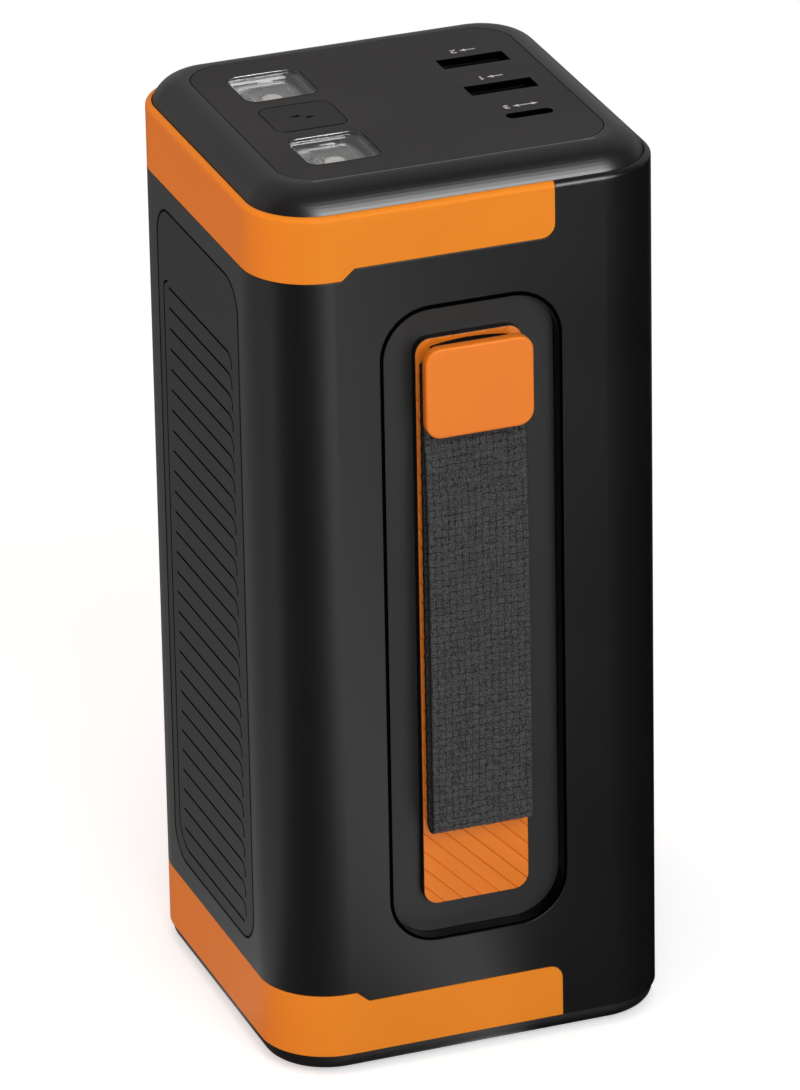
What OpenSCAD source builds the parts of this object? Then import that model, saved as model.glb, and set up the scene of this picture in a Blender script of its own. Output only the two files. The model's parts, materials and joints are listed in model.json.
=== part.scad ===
// Jump starter pack: an upright battery pack with a carry strap, torch, USB ports and a jump socket.
// The origin is on the table under the middle of the body, +Z is up and the strap faces -Y.

/* [Body] */
// Width of the body, left to right
body_w = 78; // [72:0.5:90]
// Depth of the body, front to back
body_d = 75.5; // [70:0.5:88]
// Height from the table to the top panel
body_h = 176; // [160:0.5:200]
// Plan radius of the four upright corners
corner_r = 13; // [11:0.5:15]
// Thickness of the body wall
wall = 2.6; // [2.4:0.1:3]
// Height of the base, up to the bottom edge of the sleeve
base_h = 4.2; // [4:0.1:5]
// Height of the rolled top edge above the rim of the sleeve
roll_h = 4.2; // [3.6:0.1:5]
// Radius of the rolled top edge
roll_r = 6.2; // [5.4:0.1:6.4]
// Rounding of the outer edge of the rim
rim_r = 1; // [0.5:0.1:1.1]

/* [Trim bands] */
// Thickness of the trim bands, set flush in the sleeve
trim_t = 1.5; // [1.2:0.1:1.6]
// Height of a band round the left side
trim_tall = 12.5; // [10:0.1:15]
// Height of a band beyond its step
trim_short = 10.4; // [8:0.1:12]
// Distance of the step from the left side
trim_step_in = 14.4; // [13:0.1:20]
// Width of the sloping step
trim_step_w = 2.4; // [1:0.1:4]
// Distance of a band's square end from the right side
trim_end_in = 22.8; // [16:0.1:28]
// Radius of the rounded corner at a band's end
trim_end_r = 2.6; // [1:0.1:4]

/* [Strap well] */
// Width of the well in the front
well_w = 33.8; // [32:0.1:36]
// Margin between the well and the top and bottom of the body
well_end = 25; // [23:0.5:30]
// Corner radius of the well
well_r = 9; // [7:0.1:12]
// Depth of the well
well_depth = 3.5; // [3.3:0.1:4.5]
// Margin between the well and the ridged pad, at the sides
pad_side = 6.5; // [5.5:0.1:6.5]
// Margin between the well and the ridged pad, at the ends
pad_end = 6.2; // [5:0.1:8]
// Thickness of the ridged pad
pad_t = 1.7; // [1.2:0.1:2]
// Corner radius of the ridged pad
pad_r = 3; // [2:0.1:4]
// Spacing of the slanting grooves, measured square to them
ridge_pitch = 2.57; // [2:0.01:4]
// Width of the slanting grooves
ridge_w = 0.4; // [0.2:0.05:0.8]
// Depth of the slanting grooves
ridge_depth = 0.35; // [0.2:0.05:0.6]

/* [Strap] */
// Width of the webbing
strap_w = 19.2; // [17:0.1:19.6]
// Thickness of one ply of webbing
strap_t = 1; // [0.8:0.05:1.2]
// Length of the ridged pad that shows below the strap
strap_tail = 16.4; // [10:0.1:40]
// How far the front ply stands away from the back ply at the fold
strap_gap = 1.6; // [1:0.1:2]
// Width of the strap cap
cap_w = 20.8; // [20.4:0.1:24]
// Height of the strap cap
cap_h = 17.5; // [15:0.1:20]
// Thickness of the strap cap
cap_t = 2.3; // [2:0.1:3]
// Corner radius of the strap cap
cap_r = 3; // [2.2:0.1:5]

/* [Grip panels] */
// Margin between a grip panel and the front and back of the body
grip_side = 15.55; // [15:0.05:18]
// Margin between a grip panel and the top and bottom of the body
grip_end = 21.2; // [20:0.1:28]
// Corner radius of a grip panel
grip_r = 6.5; // [4:0.1:9]
// Thickness of a grip panel
grip_t = 1.4; // [1.2:0.1:1.5]
// Spacing of the hooked grooves
hook_pitch = 4.1; // [3.4:0.05:6]
// Width of a groove
groove_w = 0.5; // [0.3:0.05:0.8]
// Depth of a groove
groove_depth = 0.5; // [0.3:0.05:0.8]

/* [Top panel] */
// Margin between the flat top panel and the sides of the body
panel_margin = 7.6; // [7.5:0.05:9]
// Corner radius of the top panel
panel_r = 8; // [6:0.1:9]
// Thickness of the top panel
panel_t = 1.5; // [1.2:0.1:2]
// Width of the dark line round the panel and the button
panel_gap = 0.2; // [0.1:0.05:0.3]

/* [Torch and button] */
// Width of a torch window
torch_w = 14.3; // [12:0.1:15]
// Depth of a torch window
torch_d = 13.8; // [12:0.1:15]
// Corner radius of a torch window
torch_r = 2.5; // [1:0.1:4]
// Distance of the torches and the button from the left edge of the top panel
torch_in = 13.5; // [12:0.1:15]
// Space between the button and each torch window
torch_gap = 3.4; // [2.6:0.1:4]
// Width of the power button
button_w = 13.6; // [10:0.1:14.5]
// Depth of the power button
button_d = 12.4; // [9:0.1:13]
// Corner radius of the power button
button_r = 2.2; // [1:0.1:4]
// Travel of the power button
button_travel = 0.6; // [0.3:0.05:0.8]

/* [Ports] */
// Distance of the ports from the right edge of the top panel
port_in = 10.9; // [10:0.1:14]
// Spacing of the ports
port_pitch = 14.3; // [12:0.1:16]
// Width of a USB-A opening
usb_a_w = 13.1; // [13:0.1:13.6]
// Height of a USB-A opening
usb_a_h = 4.9; // [4.8:0.1:5.6]
// Width of the USB-C opening
usb_c_w = 9.1; // [9:0.1:9.6]
// Height of the USB-C opening
usb_c_h = 2.8; // [2.7:0.1:3.4]

/* [Jump socket] */
// Distance of the jump socket below the top
socket_drop = 64; // [54:0.5:72]
// Width of the socket cover
cover_w = 31; // [28:0.1:36]
// Height of the socket cover
cover_h = 19; // [17:0.1:24]
// Spacing of the two contacts
contact_pitch = 11; // [9:0.1:12]
// Inside radius of a contact
contact_r = 2.55; // [2:0.05:3]
// Length of a contact
contact_len = 14; // [12:0.1:15]

/* [Battery] */
// Margin between the cells and the sides of the body
cell_side = 10; // [9.5:0.1:14]
// Room between the cells and the port board
cell_top_room = 11.7; // [11:0.1:20]
// Room behind the cells for the main board and the jump socket
board_room = 28.35; // [28:0.05:31]
// Thickness of the foam between cells
foam_t = 0.8; // [0.5:0.1:1]

/* [Hidden] */
$fn = 64;

// Clearance between parts of the casing that slide together
fit = 0.15;
// Clearance of a small inner piece in its seat
slip = 0.1;
// Clearance round a piece that moves
run = 0.3;
// How far a cut runs past the face that it opens
past = 1;

// Faces of the body
front = -body_d / 2;
back = body_d / 2;
left = -body_w / 2;
right = body_w / 2;
rim_z = body_h - roll_h;
mid_z = body_h / 2;

// Rim of the sleeve, and the cap in it
rim_lip = 1.15;
rim_seat = 1.9;
seat_z = rim_z - rim_seat;
cap_inset = rim_lip + fit;
roll_inset = 1;
skirt_t = 1.4;
skirt_drop = 6;
skirt_inset = wall + fit + skirt_t;
panel_w = body_w - 2 * panel_margin;
panel_d = body_d - 2 * panel_margin;
panel_z = body_h - panel_t;
plate_t = 2.5;
plate_z = panel_z - plate_t;

// Trim bands
trim_step_x = left + trim_step_in;
trim_end_x = right - trim_end_in;
trim_gap = 0.12;
arc_steps = 6;

// Base
base_foot = 0.8;
base_inset = 0.6;
base_fillet = 2.2;
base_gap = 0.1;
base_plate_t = 2.4;
base_plate_z = base_foot + base_plate_t;
spigot_z = base_h + 4.6;
base_rib_t = 1.6;
base_rib_pitch = 33;
foot_pad_margin = 14;
foot_pad_r = 7;
foot_pad_sunk = 0.6;
boss_r = 3.1;
boss_x = right - wall - boss_r;
boss_in = 17.75;
boss_h = 14.8;
boss_y = back - boss_in;
boss_z = base_plate_z + boss_h;

// Screws
screw_r = 0.95;
screw_play = 0.05;
pilot_r = screw_r + screw_play;
screw_head_r = 2.2;
screw_head_h = 1.1;
screw_slot_w = 0.5;
screw_slot_depth = 0.6;
base_screw_len = 10;
board_screw_len = 6.6;
strap_screw_len = 5.8;

// Strap well, tray, pad and cap
well_h = body_h - 2 * well_end;
well_edge_r = 0.45;
tray_flange = 2.5;
tray_floor_t = 1.8;
tray_floor_y = front + well_depth;
tray_back_y = tray_floor_y + tray_floor_t;
strap_pad_w = well_w - 2 * pad_side;
strap_pad_h = well_h - 2 * pad_end;
strap_pad_z0 = mid_z - strap_pad_h / 2;
ridge_start = 1;
strap_air = 1.3;
strap_mid = tray_floor_y - pad_t - strap_air - strap_t;
cap_back = strap_mid - strap_t - slip;
cap_z1 = mid_z + strap_pad_h / 2;
cap_z0 = cap_z1 - cap_h;
cap_mid_z = (cap_z0 + cap_z1) / 2;
cap_edge_r = 1;
cap_back_r = 0.5;
post_x = 5.5;
post_r = 1.9;
slot_w = 15;
slot_h = 2.4;
slot_margin = 0.9;
slot_arch_r = 40;
hinge_z = cap_z0 - run - strap_t;
loop_z0 = strap_pad_z0 + strap_tail;
seam_h = 12;
clamp_t = 0.8;
clamp_margin = 4;

// Grip panels
grip_w = body_d - 2 * grip_side;
grip_h = body_h - 2 * grip_end;
grip_gap = 0.35;
hook_rear = 6.1;
hook_front = 4.3;
hook_bend = 2;
hook_tail = 0.6;
hook_top = 15.3;
hook_base = 7.5;
hook_count = floor((grip_h - hook_top - hook_base) / hook_pitch) + 1;
line_rear = 3;
line_base = 3.4;
line_bend = 5.5;
line_top = 14.4;
line_top_bend = 2.2;
line_end = 5.4;

// Torches and button
torch_x = panel_w / 2 - torch_in;
torch_y = (button_d + torch_d) / 2 + torch_gap;
lens_t = 1.4;
lens_gap = 0.05;
reflector_rim = 1.2;
reflector_floor = 0.6;
led_r = 1.7;
led_h = 0.7;
torch_board_t = 1.2;
torch_board_rim = 0.9;
torch_wire_r = 0.6;
torch_wire_pitch = 4;
button_flange = 0.8;
button_flange_t = 1.2;
button_z0 = plate_z - slip - button_flange_t;
bolt_w = 5.2;
bolt_h = 2.5;
bolt_depth = 0.2;

// Port board and switch
board_t = 1.6;
port_board_drop = 14;
port_board_z1 = body_h - port_board_drop;
port_board_z0 = port_board_z1 - board_t;
port_board_gap = 4;
board_boss_r = 2.4;
board_boss_in = wall + 7.8;
board_boss_x = right - board_boss_in;
board_boss_y = back - board_boss_in;
board_pilot_depth = 6;
switch_w = 6;
switch_h = 3.5;
switch_floor = 1;
plunger_r = 1.6;
plunger_z0 = port_board_z1 + switch_floor + button_travel + 0.4;

// USB ports: the shells stand on the port board and end under the panel
port_x = panel_w / 2 - port_in;
port_shift = -0.2;
port_floor = 1;
shell_z1 = panel_z - slip;
usb_a_wall = 0.3;
usb_a_in_w = usb_a_w - 0.5;
usb_a_in_h = usb_a_h + 0.2;
usb_a_tongue_w = 11.1;
usb_a_tongue_t = 1.9;
usb_a_tongue_y = 0.35;
usb_a_block_t = 3.9;
usb_a_block_h = 1.5;
usb_c_wall = 0.25;
usb_c_in_w = usb_c_w - 0.6;
usb_c_in_h = usb_c_h - 0.1;
usb_c_tongue_w = 6.7;
usb_c_tongue_t = 0.7;
usb_c_block_t = 2;
usb_c_block_h = 3;
tongue_drop = 1.2;

// Battery pack
cell_count = 4;
frame_gap = 0.3;
frame_side = 1.2;
frame_floor = 1.6;
frame_h = 17;
frame_grip = 9;
frame_roof = 3.6;
frame_z0 = spigot_z + 0.2;
cell_play = 0.2;
cell_w = body_w - 2 * cell_side;
cell_z0 = frame_z0 + frame_floor + slip;
cell_z1 = port_board_z0 - cell_top_room;
cell_h = cell_z1 - cell_z0;
cell_r = 2;
cell_seal_h = 4;
cell_seal_t = 0.8;
pack_y0 = tray_back_y + clamp_t + screw_head_h + 0.25 + frame_side + slip;
pack_y1 = back - board_room;
cell_t = (pack_y1 - pack_y0 - (cell_count - 1) * foam_t) / cell_count;
frame_top_z = cell_z1 + frame_roof;
tab_w = 10;
tab_t = 0.4;
tab_in = 13;
tab_x = cell_w / 2 - tab_in;
bar_t = 0.8;
bar_lap = 1.5;
bar_arm = 4;

// Main board and what it carries
lead_r = 2.2;
lead_gap = 0.55;
lead_y = pack_y1 + lead_gap + lead_r;
board_y0 = lead_y + lead_r + 0.25;
board_y1 = board_y0 + board_t;
board_w = cell_w + 2;
notch_w = 30;
part_z0 = frame_z0 + frame_h + 3;
part_gap = 4.5;
can_r = 5;
can_h = 14;
fet_w = 8.5;
fet_d = 4.4;
relay_w = 16;
relay_d = 15;
relay_h = 20;
choke_w = 11;
choke_d = 6;
link_w = 13;
link_d = 2.6;
terminal_w = 8;
terminal_h = 12;

// Jump socket, its leads and cover
socket_z = body_h - socket_drop;
socket_face = back - wall;
contact_wall = 0.65;
contact_end = 2;
contact_rear = socket_face - contact_len - contact_end;
lead_bend = contact_rear - lead_y;
notch_room = 8;
notch_z = socket_z - lead_bend - notch_room;
terminal_drop = 16;
terminal_z1 = notch_z - terminal_drop;
socket_flange = 2.6;
socket_flange_t = 2;
socket_flange_r = 3;
socket_cheek = 6.5;
socket_body_w = contact_pitch + 2 * socket_cheek;
socket_body_h = 12.5;
socket_body_r = 4;
cover_t = 2.2;
cover_r = 3;
cover_z1 = socket_z + cover_h / 2;
cover_axis_z = cover_z1 - cover_t / 2;
cover_axis_y = back - cover_t / 2;
cover_pin_r = 0.6;
cover_pin_len = 1.4;
cover_notch_r = 1.3;
cover_notch_w = 9;

function arc(cx, cy, r, a0, a1, n = arc_steps) =
    [for (i = [0:n]) let (a = a0 + (a1 - a0) * i / n) [cx + r * cos(a), cy + r * sin(a)]];

// From a corner's centre to the line that lies this far inside the body's outline
function from_corner(inset) = corner_r - inset;

// Front face of a cell
function cell_y(i) = pack_y0 + (i - 1) * (cell_t + foam_t);

// ---------- shared shapes ----------

module round_rect(w, d, r) {
    square([w - 2 * r, d], center = true);
    square([w, d - 2 * r], center = true);
    for (sx = [-1, 1], sy = [-1, 1])
        translate([sx * (w / 2 - r), sy * (d / 2 - r)]) circle(r);
}

module slab(w, d, r, z0, z1) translate([0, 0, z0]) linear_extrude(z1 - z0) round_rect(w, d, r);

// Slot with round ends
module round_slot(w, d, z0, z1) slab(w, d, d / 2 - 0.01, z0, z1);

// Sweeps a profile round a rounded rectangle. The profile's x runs outwards from the corner centre.
module loop_sweep(w, d, r) {
    for (a = [0, 90, 180, 270])
        translate([(w / 2 - r) * sign(cos(a + 45)), (d / 2 - r) * sign(sin(a + 45)), 0])
            rotate([0, 0, a]) rotate_extrude(angle = 90) children();
    for (a = [0, 180]) {
        rotate([0, 0, a]) translate([w / 2 - r, 0, 0])
            rotate([90, 0, 0]) linear_extrude(d - 2 * r, center = true) children();
        rotate([0, 0, a + 90]) translate([d / 2 - r, 0, 0])
            rotate([90, 0, 0]) linear_extrude(w - 2 * r, center = true) children();
    }
}

// Upright rounded rectangle that faces the front, from y0 to y1
module front_plate(w, h, r, y0, y1, z)
    translate([0, y1, z]) rotate([90, 0, 0]) linear_extrude(y1 - y0) round_rect(w, h, r);

// Frame on the front: x to the right, y up and z outwards
module facing_front(y, z) translate([0, y, z]) rotate([90, 0, 0]) children();

// Band of the body's outline between two depths
module ring(inset0, inset1, z0, z1) loop_sweep(body_w, body_d, corner_r)
    polygon([[from_corner(inset1), z0], [from_corner(inset0), z0],
             [from_corner(inset0), z1], [from_corner(inset1), z1]]);

module at_four(x, y) for (sx = [-1, 1], sy = [-1, 1]) translate([sx * x, sy * y, 0]) children();

// Pan-head screw that points up, with the underside of its head at z
module screw(z, length) {
    difference() {
        translate([0, 0, z - screw_head_h]) cylinder(r = screw_head_r, h = screw_head_h, $fn = 32);
        for (a = [0, 90]) rotate([0, 0, a])
            translate([-0.6 * screw_head_r, -screw_slot_w / 2, z - screw_head_h - past])
                cube([1.2 * screw_head_r, screw_slot_w, screw_slot_depth + past]);
    }
    translate([0, 0, z]) cylinder(r = screw_r, h = length, $fn = 32);
}

// Groove strokes, drawn in the plane
module bar_stroke(p, q) {
    d = q - p;
    translate(p) rotate(atan2(d[1], d[0])) translate([0, -groove_w / 2]) square([norm(d), groove_w]);
    for (e = [p, q]) translate(e) circle(groove_w / 2, $fn = 16);
}

module bend_stroke(cx, cy, r, a0, a1)
    polygon(concat(arc(cx, cy, r + groove_w / 2, a0, a1), arc(cx, cy, r - groove_w / 2, a1, a0)));

// ---------- body ----------

// Side view of a band with its closed edge at y0. A gap of g widens it for its pocket.
module band_outline(g, y0)
    polygon(concat([[-body_w, y0], [trim_end_x + g, y0]],
        arc(trim_end_x + g - trim_end_r, trim_short + g - trim_end_r, trim_end_r, 0, 90),
        [[trim_step_x + trim_step_w + g, trim_short + g], [trim_step_x + g, trim_tall + g],
         [-body_w, trim_tall + g]]));

module band_block(g, y0)
    rotate([90, 0, 0]) linear_extrude(body_d + 2 * past, center = true) band_outline(g, y0);

module lower_band(g, y0) translate([0, 0, base_h]) band_block(g, y0);
module upper_band(g, y0) translate([0, 0, rim_z]) mirror([0, 0, 1]) band_block(g, y0);

// Window of the strap well, with its outer edge rounded over
module well_cut() {
    front_plate(well_w, well_h, well_r, front - past, front + wall + past, mid_z);
    facing_front(front, mid_z) loop_sweep(well_w, well_h, well_r)
        polygon(concat([[well_r - fit, -well_edge_r]],
            arc(well_r + well_edge_r, -well_edge_r, well_edge_r, 180, 90),
            [[well_r + well_edge_r, past], [well_r - fit, past]]));
}

// Screw bosses on the side walls, made larger by g all round
module side_bosses(g, z0, z1) for (sx = [-1, 1], sy = [-1, 1])
    translate([sx * boss_x, sy * boss_y, z0]) {
        cylinder(r = boss_r + g, h = z1 - z0);
        translate([sx > 0 ? 0 : -boss_r - wall / 2, -boss_r / 2 - g, 0])
            cube([boss_r + wall / 2, boss_r + 2 * g, z1 - z0]);
    }

module side_pocket() translate([right - grip_t, 0, mid_z]) rotate([90, 0, 90])
    linear_extrude(grip_t + past) round_rect(grip_w, grip_h, grip_r);

module cover_pin(r, g) translate([0, cover_axis_y, cover_axis_z]) rotate([0, 90, 0])
    cylinder(r = r, h = cover_w + 2 * (run + cover_pin_len - g), center = true, $fn = 24);

module body_sleeve() color([0.2, 0.2, 0.2]) difference() {
    union() {
        loop_sweep(body_w, body_d, corner_r)
            polygon(concat([[from_corner(wall), base_h], [from_corner(0), base_h]],
                arc(from_corner(rim_r), rim_z - rim_r, rim_r, 0, 90),
                [[from_corner(rim_lip), rim_z], [from_corner(rim_lip), seat_z],
                 [from_corner(wall), seat_z]]));
        side_bosses(0, base_plate_z, boss_z);
    }
    intersection() {
        ring(-past, trim_t, base_h - past, base_h + trim_tall + past);
        lower_band(trim_gap, -2 * past);
    }
    intersection() {
        ring(-past, trim_t, rim_z - trim_tall - past, rim_z + past);
        upper_band(trim_gap, -2 * past);
    }
    well_cut();
    side_pocket();
    mirror([1, 0, 0]) side_pocket();
    at_four(boss_x, boss_y) translate([0, 0, base_plate_z - past])
        cylinder(r = pilot_r, h = base_screw_len + 2 * past);
    cover_plate(run, socket_face - past, back + past);
    cover_pin(cover_pin_r + slip, 0);
}

module upper_trim() color([0.92, 0.45, 0.12]) intersection() {
    loop_sweep(body_w, body_d, corner_r)
        polygon(concat([[from_corner(trim_t), rim_z - trim_tall - past],
                        [from_corner(0), rim_z - trim_tall - past]],
            arc(from_corner(rim_r), rim_z - rim_r, rim_r, 0, 90),
            [[from_corner(rim_lip), rim_z], [from_corner(rim_lip), seat_z],
             [from_corner(trim_t), seat_z]]));
    upper_band(0, 0);
}

module lower_trim() color([0.92, 0.45, 0.12]) intersection() {
    ring(0, trim_t, base_h, base_h + trim_tall + past);
    lower_band(0, 0);
}

// Torch windows and button hole, made larger by g all round
module panel_openings(z0, z1, g) {
    for (s = [-1, 1]) translate([-torch_x, s * torch_y, 0])
        slab(torch_w + 2 * g, torch_d + 2 * g, torch_r + g, z0, z1);
    translate([-torch_x, 0, 0])
        slab(button_w + 2 * (panel_gap + g), button_d + 2 * (panel_gap + g),
             button_r + panel_gap + g, z0, z1);
}

module at_port(i) translate([port_x, (1 - i) * port_pitch + port_shift, 0]) children();

// Rolled edge, plate under the top panel and skirt inside the sleeve
module top_cap() color([0.15, 0.15, 0.15]) difference() {
    roll_u = from_corner(roll_inset + roll_r);
    roll_start = acos(1 - (cap_inset - roll_inset) / roll_r);
    union() {
        loop_sweep(body_w, body_d, corner_r)
            polygon(concat([[0, plate_z], [from_corner(skirt_inset), plate_z],
                [from_corner(skirt_inset), seat_z - skirt_drop],
                [from_corner(wall + fit), seat_z - skirt_drop],
                [from_corner(wall + fit), seat_z], [from_corner(cap_inset), seat_z]],
                arc(roll_u, body_h - roll_r, roll_r, roll_start, 90, 12), [[0, body_h]]));
        translate([0, 0, (plate_z + body_h) / 2])
            cube([body_w - 2 * corner_r, body_d - 2 * corner_r, body_h - plate_z], center = true);
        at_four(board_boss_x, board_boss_y) translate([0, 0, port_board_z1])
            cylinder(r = board_boss_r, h = plate_z - port_board_z1 + plate_t / 2);
    }
    slab(panel_w, panel_d, panel_r, panel_z, body_h + past);
    panel_openings(plate_z - past, body_h, fit);
    for (i = [0, 1]) at_port(i)
        slab(usb_a_in_w + 2 * (usb_a_wall + fit), usb_a_in_h + 2 * (usb_a_wall + fit),
             usb_a_wall + fit, plate_z - past, body_h);
    at_port(2) round_slot(usb_c_in_w + 2 * (usb_c_wall + fit), usb_c_in_h + 2 * (usb_c_wall + fit),
        plate_z - past, body_h);
    at_four(board_boss_x, board_boss_y) translate([0, 0, port_board_z1 - past])
        cylinder(r = pilot_r, h = board_pilot_depth + past);
}

module top_panel() color([0.24, 0.24, 0.24]) difference() {
    slab(panel_w - 2 * panel_gap, panel_d - 2 * panel_gap, panel_r - panel_gap, panel_z, body_h);
    panel_openings(panel_z - past, body_h + past, 0);
    for (i = [0, 1]) at_port(i) slab(usb_a_w, usb_a_h, usb_a_wall, panel_z - past, body_h + past);
    at_port(2) round_slot(usb_c_w, usb_c_h, panel_z - past, body_h + past);
}

// Plate, rounded foot and spigot in the sleeve, with ribs under the battery pack
module base_cover() color([0.1, 0.1, 0.1]) difference() {
    inner_w = body_w - 2 * corner_r;
    inner_d = body_d - 2 * corner_r;
    rib_z = base_plate_z - base_gap;
    union() {
        loop_sweep(body_w, body_d, corner_r)
            polygon(concat([[0, base_plate_z], [0, base_foot]],
                arc(from_corner(base_inset + base_fillet), base_foot + base_fillet, base_fillet,
                    270, 360),
                [[from_corner(base_inset), base_h - base_gap],
                 [from_corner(wall + fit), base_h - base_gap],
                 [from_corner(wall + fit), spigot_z], [from_corner(skirt_inset), spigot_z],
                 [from_corner(skirt_inset), base_plate_z]]));
        translate([0, 0, base_foot + base_plate_t / 2])
            cube([inner_w, inner_d, base_plate_t], center = true);
        for (s = [-1, 1]) {
            translate([s * base_rib_pitch / 2 - base_rib_t / 2, -inner_d / 2, rib_z])
                cube([base_rib_t, inner_d, frame_z0 - slip - rib_z]);
            translate([-inner_w / 2, s * base_rib_pitch / 2 - base_rib_t / 2, rib_z])
                cube([inner_w, base_rib_t, frame_z0 - slip - rib_z]);
        }
    }
    slab(body_w - 2 * foot_pad_margin + 2 * slip, body_d - 2 * foot_pad_margin + 2 * slip,
         foot_pad_r + slip, base_foot - past, base_foot + foot_pad_sunk);
    side_bosses(fit, base_plate_z, spigot_z + past);
    at_four(boss_x, boss_y) translate([0, 0, base_foot - past]) {
        cylinder(r = screw_r + fit, h = base_plate_t + 2 * past);
        cylinder(r = screw_head_r + fit, h = past + screw_head_h + slip);
    }
}

module base_pad() color([0.08, 0.08, 0.08])
    slab(body_w - 2 * foot_pad_margin, body_d - 2 * foot_pad_margin, foot_pad_r, 0,
         base_foot + foot_pad_sunk);

module base_screws() color([0.5, 0.5, 0.52])
    at_four(boss_x, boss_y) screw(base_foot + screw_head_h + slip, base_screw_len);

// ---------- grip panels ----------

module hooked_groove(z) {
    rear = grip_w / 2 - hook_rear;
    tip = hook_front - grip_w / 2;
    bar_stroke([tip + hook_bend, z], [rear, z]);
    bend_stroke(tip + hook_bend, z - hook_bend, hook_bend, 90, 180);
    bar_stroke([tip, z - hook_bend], [tip, z - hook_bend - hook_tail]);
}

module border_groove() {
    y = grip_w / 2 - line_rear;
    top = grip_h / 2 - line_top;
    base = line_base - grip_h / 2;
    bar_stroke([y, base + line_bend], [y, top - line_top_bend]);
    bend_stroke(y - line_top_bend, top - line_top_bend, line_top_bend, 0, 90);
    bend_stroke(y - line_bend, base + line_bend, line_bend, 270, 360);
    bar_stroke([line_end - grip_w / 2, base], [y - line_bend, base]);
}

module grip_right() color([0.21, 0.21, 0.21])
    translate([right - grip_t, 0, mid_z]) rotate([90, 0, 90]) difference() {
        linear_extrude(grip_t)
            round_rect(grip_w - 2 * grip_gap, grip_h - 2 * grip_gap, grip_r - grip_gap);
        translate([0, 0, grip_t - groove_depth]) linear_extrude(groove_depth + past) {
            for (i = [0:hook_count - 1]) hooked_groove(grip_h / 2 - hook_top - i * hook_pitch);
            border_groove();
        }
    }

module grip_left() mirror([1, 0, 0]) grip_right();

// ---------- strap ----------

// Frames on the two posts of the strap cap, with z outwards
module at_posts() for (s = [-1, 1]) translate([s * post_x, 0, cap_mid_z]) rotate([90, 0, 0])
    children();

module post_holes(r, y0, y1) at_posts() translate([0, 0, -y1]) cylinder(r = r, h = y1 - y0, $fn = 32);

module strap_tray() color([0.2, 0.2, 0.2]) difference() {
    front_plate(well_w + 2 * tray_flange, well_h + 2 * tray_flange, well_r + tray_flange,
                front + wall, tray_back_y, mid_z);
    front_plate(well_w, well_h, well_r, front, tray_floor_y, mid_z);
    post_holes(post_r + slip, tray_floor_y - past, tray_back_y + past);
}

// Rows of slanting grooves from the height z0 to z1, at this angle
module ridge_rows(z0, z1, angle) {
    rise = ridge_pitch * sqrt(2);
    intersection() {
        translate([-strap_pad_w, z0]) square([2 * strap_pad_w, z1 - z0]);
        for (i = [floor(-strap_pad_w / rise):ceil((z1 - z0 + strap_pad_w) / rise)])
            translate([0, z0 + ridge_start + i * rise]) rotate(angle)
                square([3 * strap_pad_w, ridge_w], center = true);
    }
}

// The grooves lean the other way above the middle of the cap
module strap_pad() color([0.92, 0.45, 0.12]) difference() {
    turn = cap_mid_z - strap_pad_z0;
    front_plate(strap_pad_w, strap_pad_h, pad_r, tray_floor_y - pad_t, tray_floor_y, mid_z);
    facing_front(tray_floor_y - pad_t + ridge_depth, strap_pad_z0)
        linear_extrude(ridge_depth + past) {
            ridge_rows(0, turn, -45);
            ridge_rows(turn, strap_pad_h + past, 45);
        }
    post_holes(post_r + slip, tray_floor_y - pad_t - past, tray_floor_y + past);
    // arched slot above the cap
    facing_front(tray_floor_y + past, cap_z1 - slot_margin) linear_extrude(pad_t + 2 * past)
        intersection() {
            translate([-slot_w / 2, -slot_h]) square([slot_w, slot_h]);
            translate([0, -slot_arch_r]) circle(slot_arch_r, $fn = 180);
        }
}

module strap_cap() color([0.92, 0.45, 0.12]) difference() {
    union() {
        facing_front(cap_back, cap_mid_z) {
            loop_sweep(cap_w, cap_h, cap_r)
                polygon(concat([[0, cap_t], [0, 0]],
                    arc(cap_r - cap_back_r, cap_back_r, cap_back_r, 270, 360, 4),
                    arc(cap_r - cap_edge_r, cap_t - cap_edge_r, cap_edge_r, 0, 90, 8)));
            translate([0, 0, cap_t / 2])
                cube([cap_w - 2 * cap_r, cap_h - 2 * cap_r, cap_t], center = true);
        }
        post_holes(post_r, cap_back, tray_back_y - slip);
    }
    post_holes(pilot_r, tray_back_y + clamp_t - strap_screw_len - fit, tray_back_y);
}

module strap_root() color([0.25, 0.25, 0.26]) difference() {
    top = cap_z1 - slot_margin - slot_h - strap_t;
    translate([-strap_w / 2, strap_mid, 0]) rotate([90, 0, 90]) linear_extrude(strap_w) {
        translate([-strap_t, cap_z0]) square([2 * strap_t, top - cap_z0]);
        translate([0, top]) circle(strap_t, $fn = 32);
    }
    post_holes(post_r + slip, cap_back - past, tray_floor_y);
}

// Side view of the doubled webbing, with x inwards from the line between the plies. The plies lie
// on each other at the top, round the hinge line, and the fold at the bottom holds them apart.
module loop_profile() {
    fold_r = strap_t + strap_gap / 2;
    fold_x = -strap_gap / 2;
    fold_z = loop_z0 + fold_r;
    seam_z = hinge_z - seam_h;
    seam_x = -strap_gap * seam_h / (hinge_z - fold_z);
    difference() {
        union() {
            polygon([[-strap_t, hinge_z], [fold_x - fold_r, fold_z], [strap_t, fold_z],
                     [strap_t, hinge_z]]);
            translate([0, hinge_z]) circle(strap_t, $fn = 32);
            translate([fold_x, fold_z]) circle(fold_r, $fn = 32);
        }
        polygon([[0, seam_z], [seam_x, seam_z], [-strap_gap, fold_z], [0, fold_z]]);
        translate([fold_x, fold_z]) circle(strap_gap / 2, $fn = 32);
    }
}

module strap_loop() color([0.25, 0.25, 0.26])
    translate([-strap_w / 2, strap_mid, 0]) rotate([90, 0, 90]) linear_extrude(strap_w) loop_profile();

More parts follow.
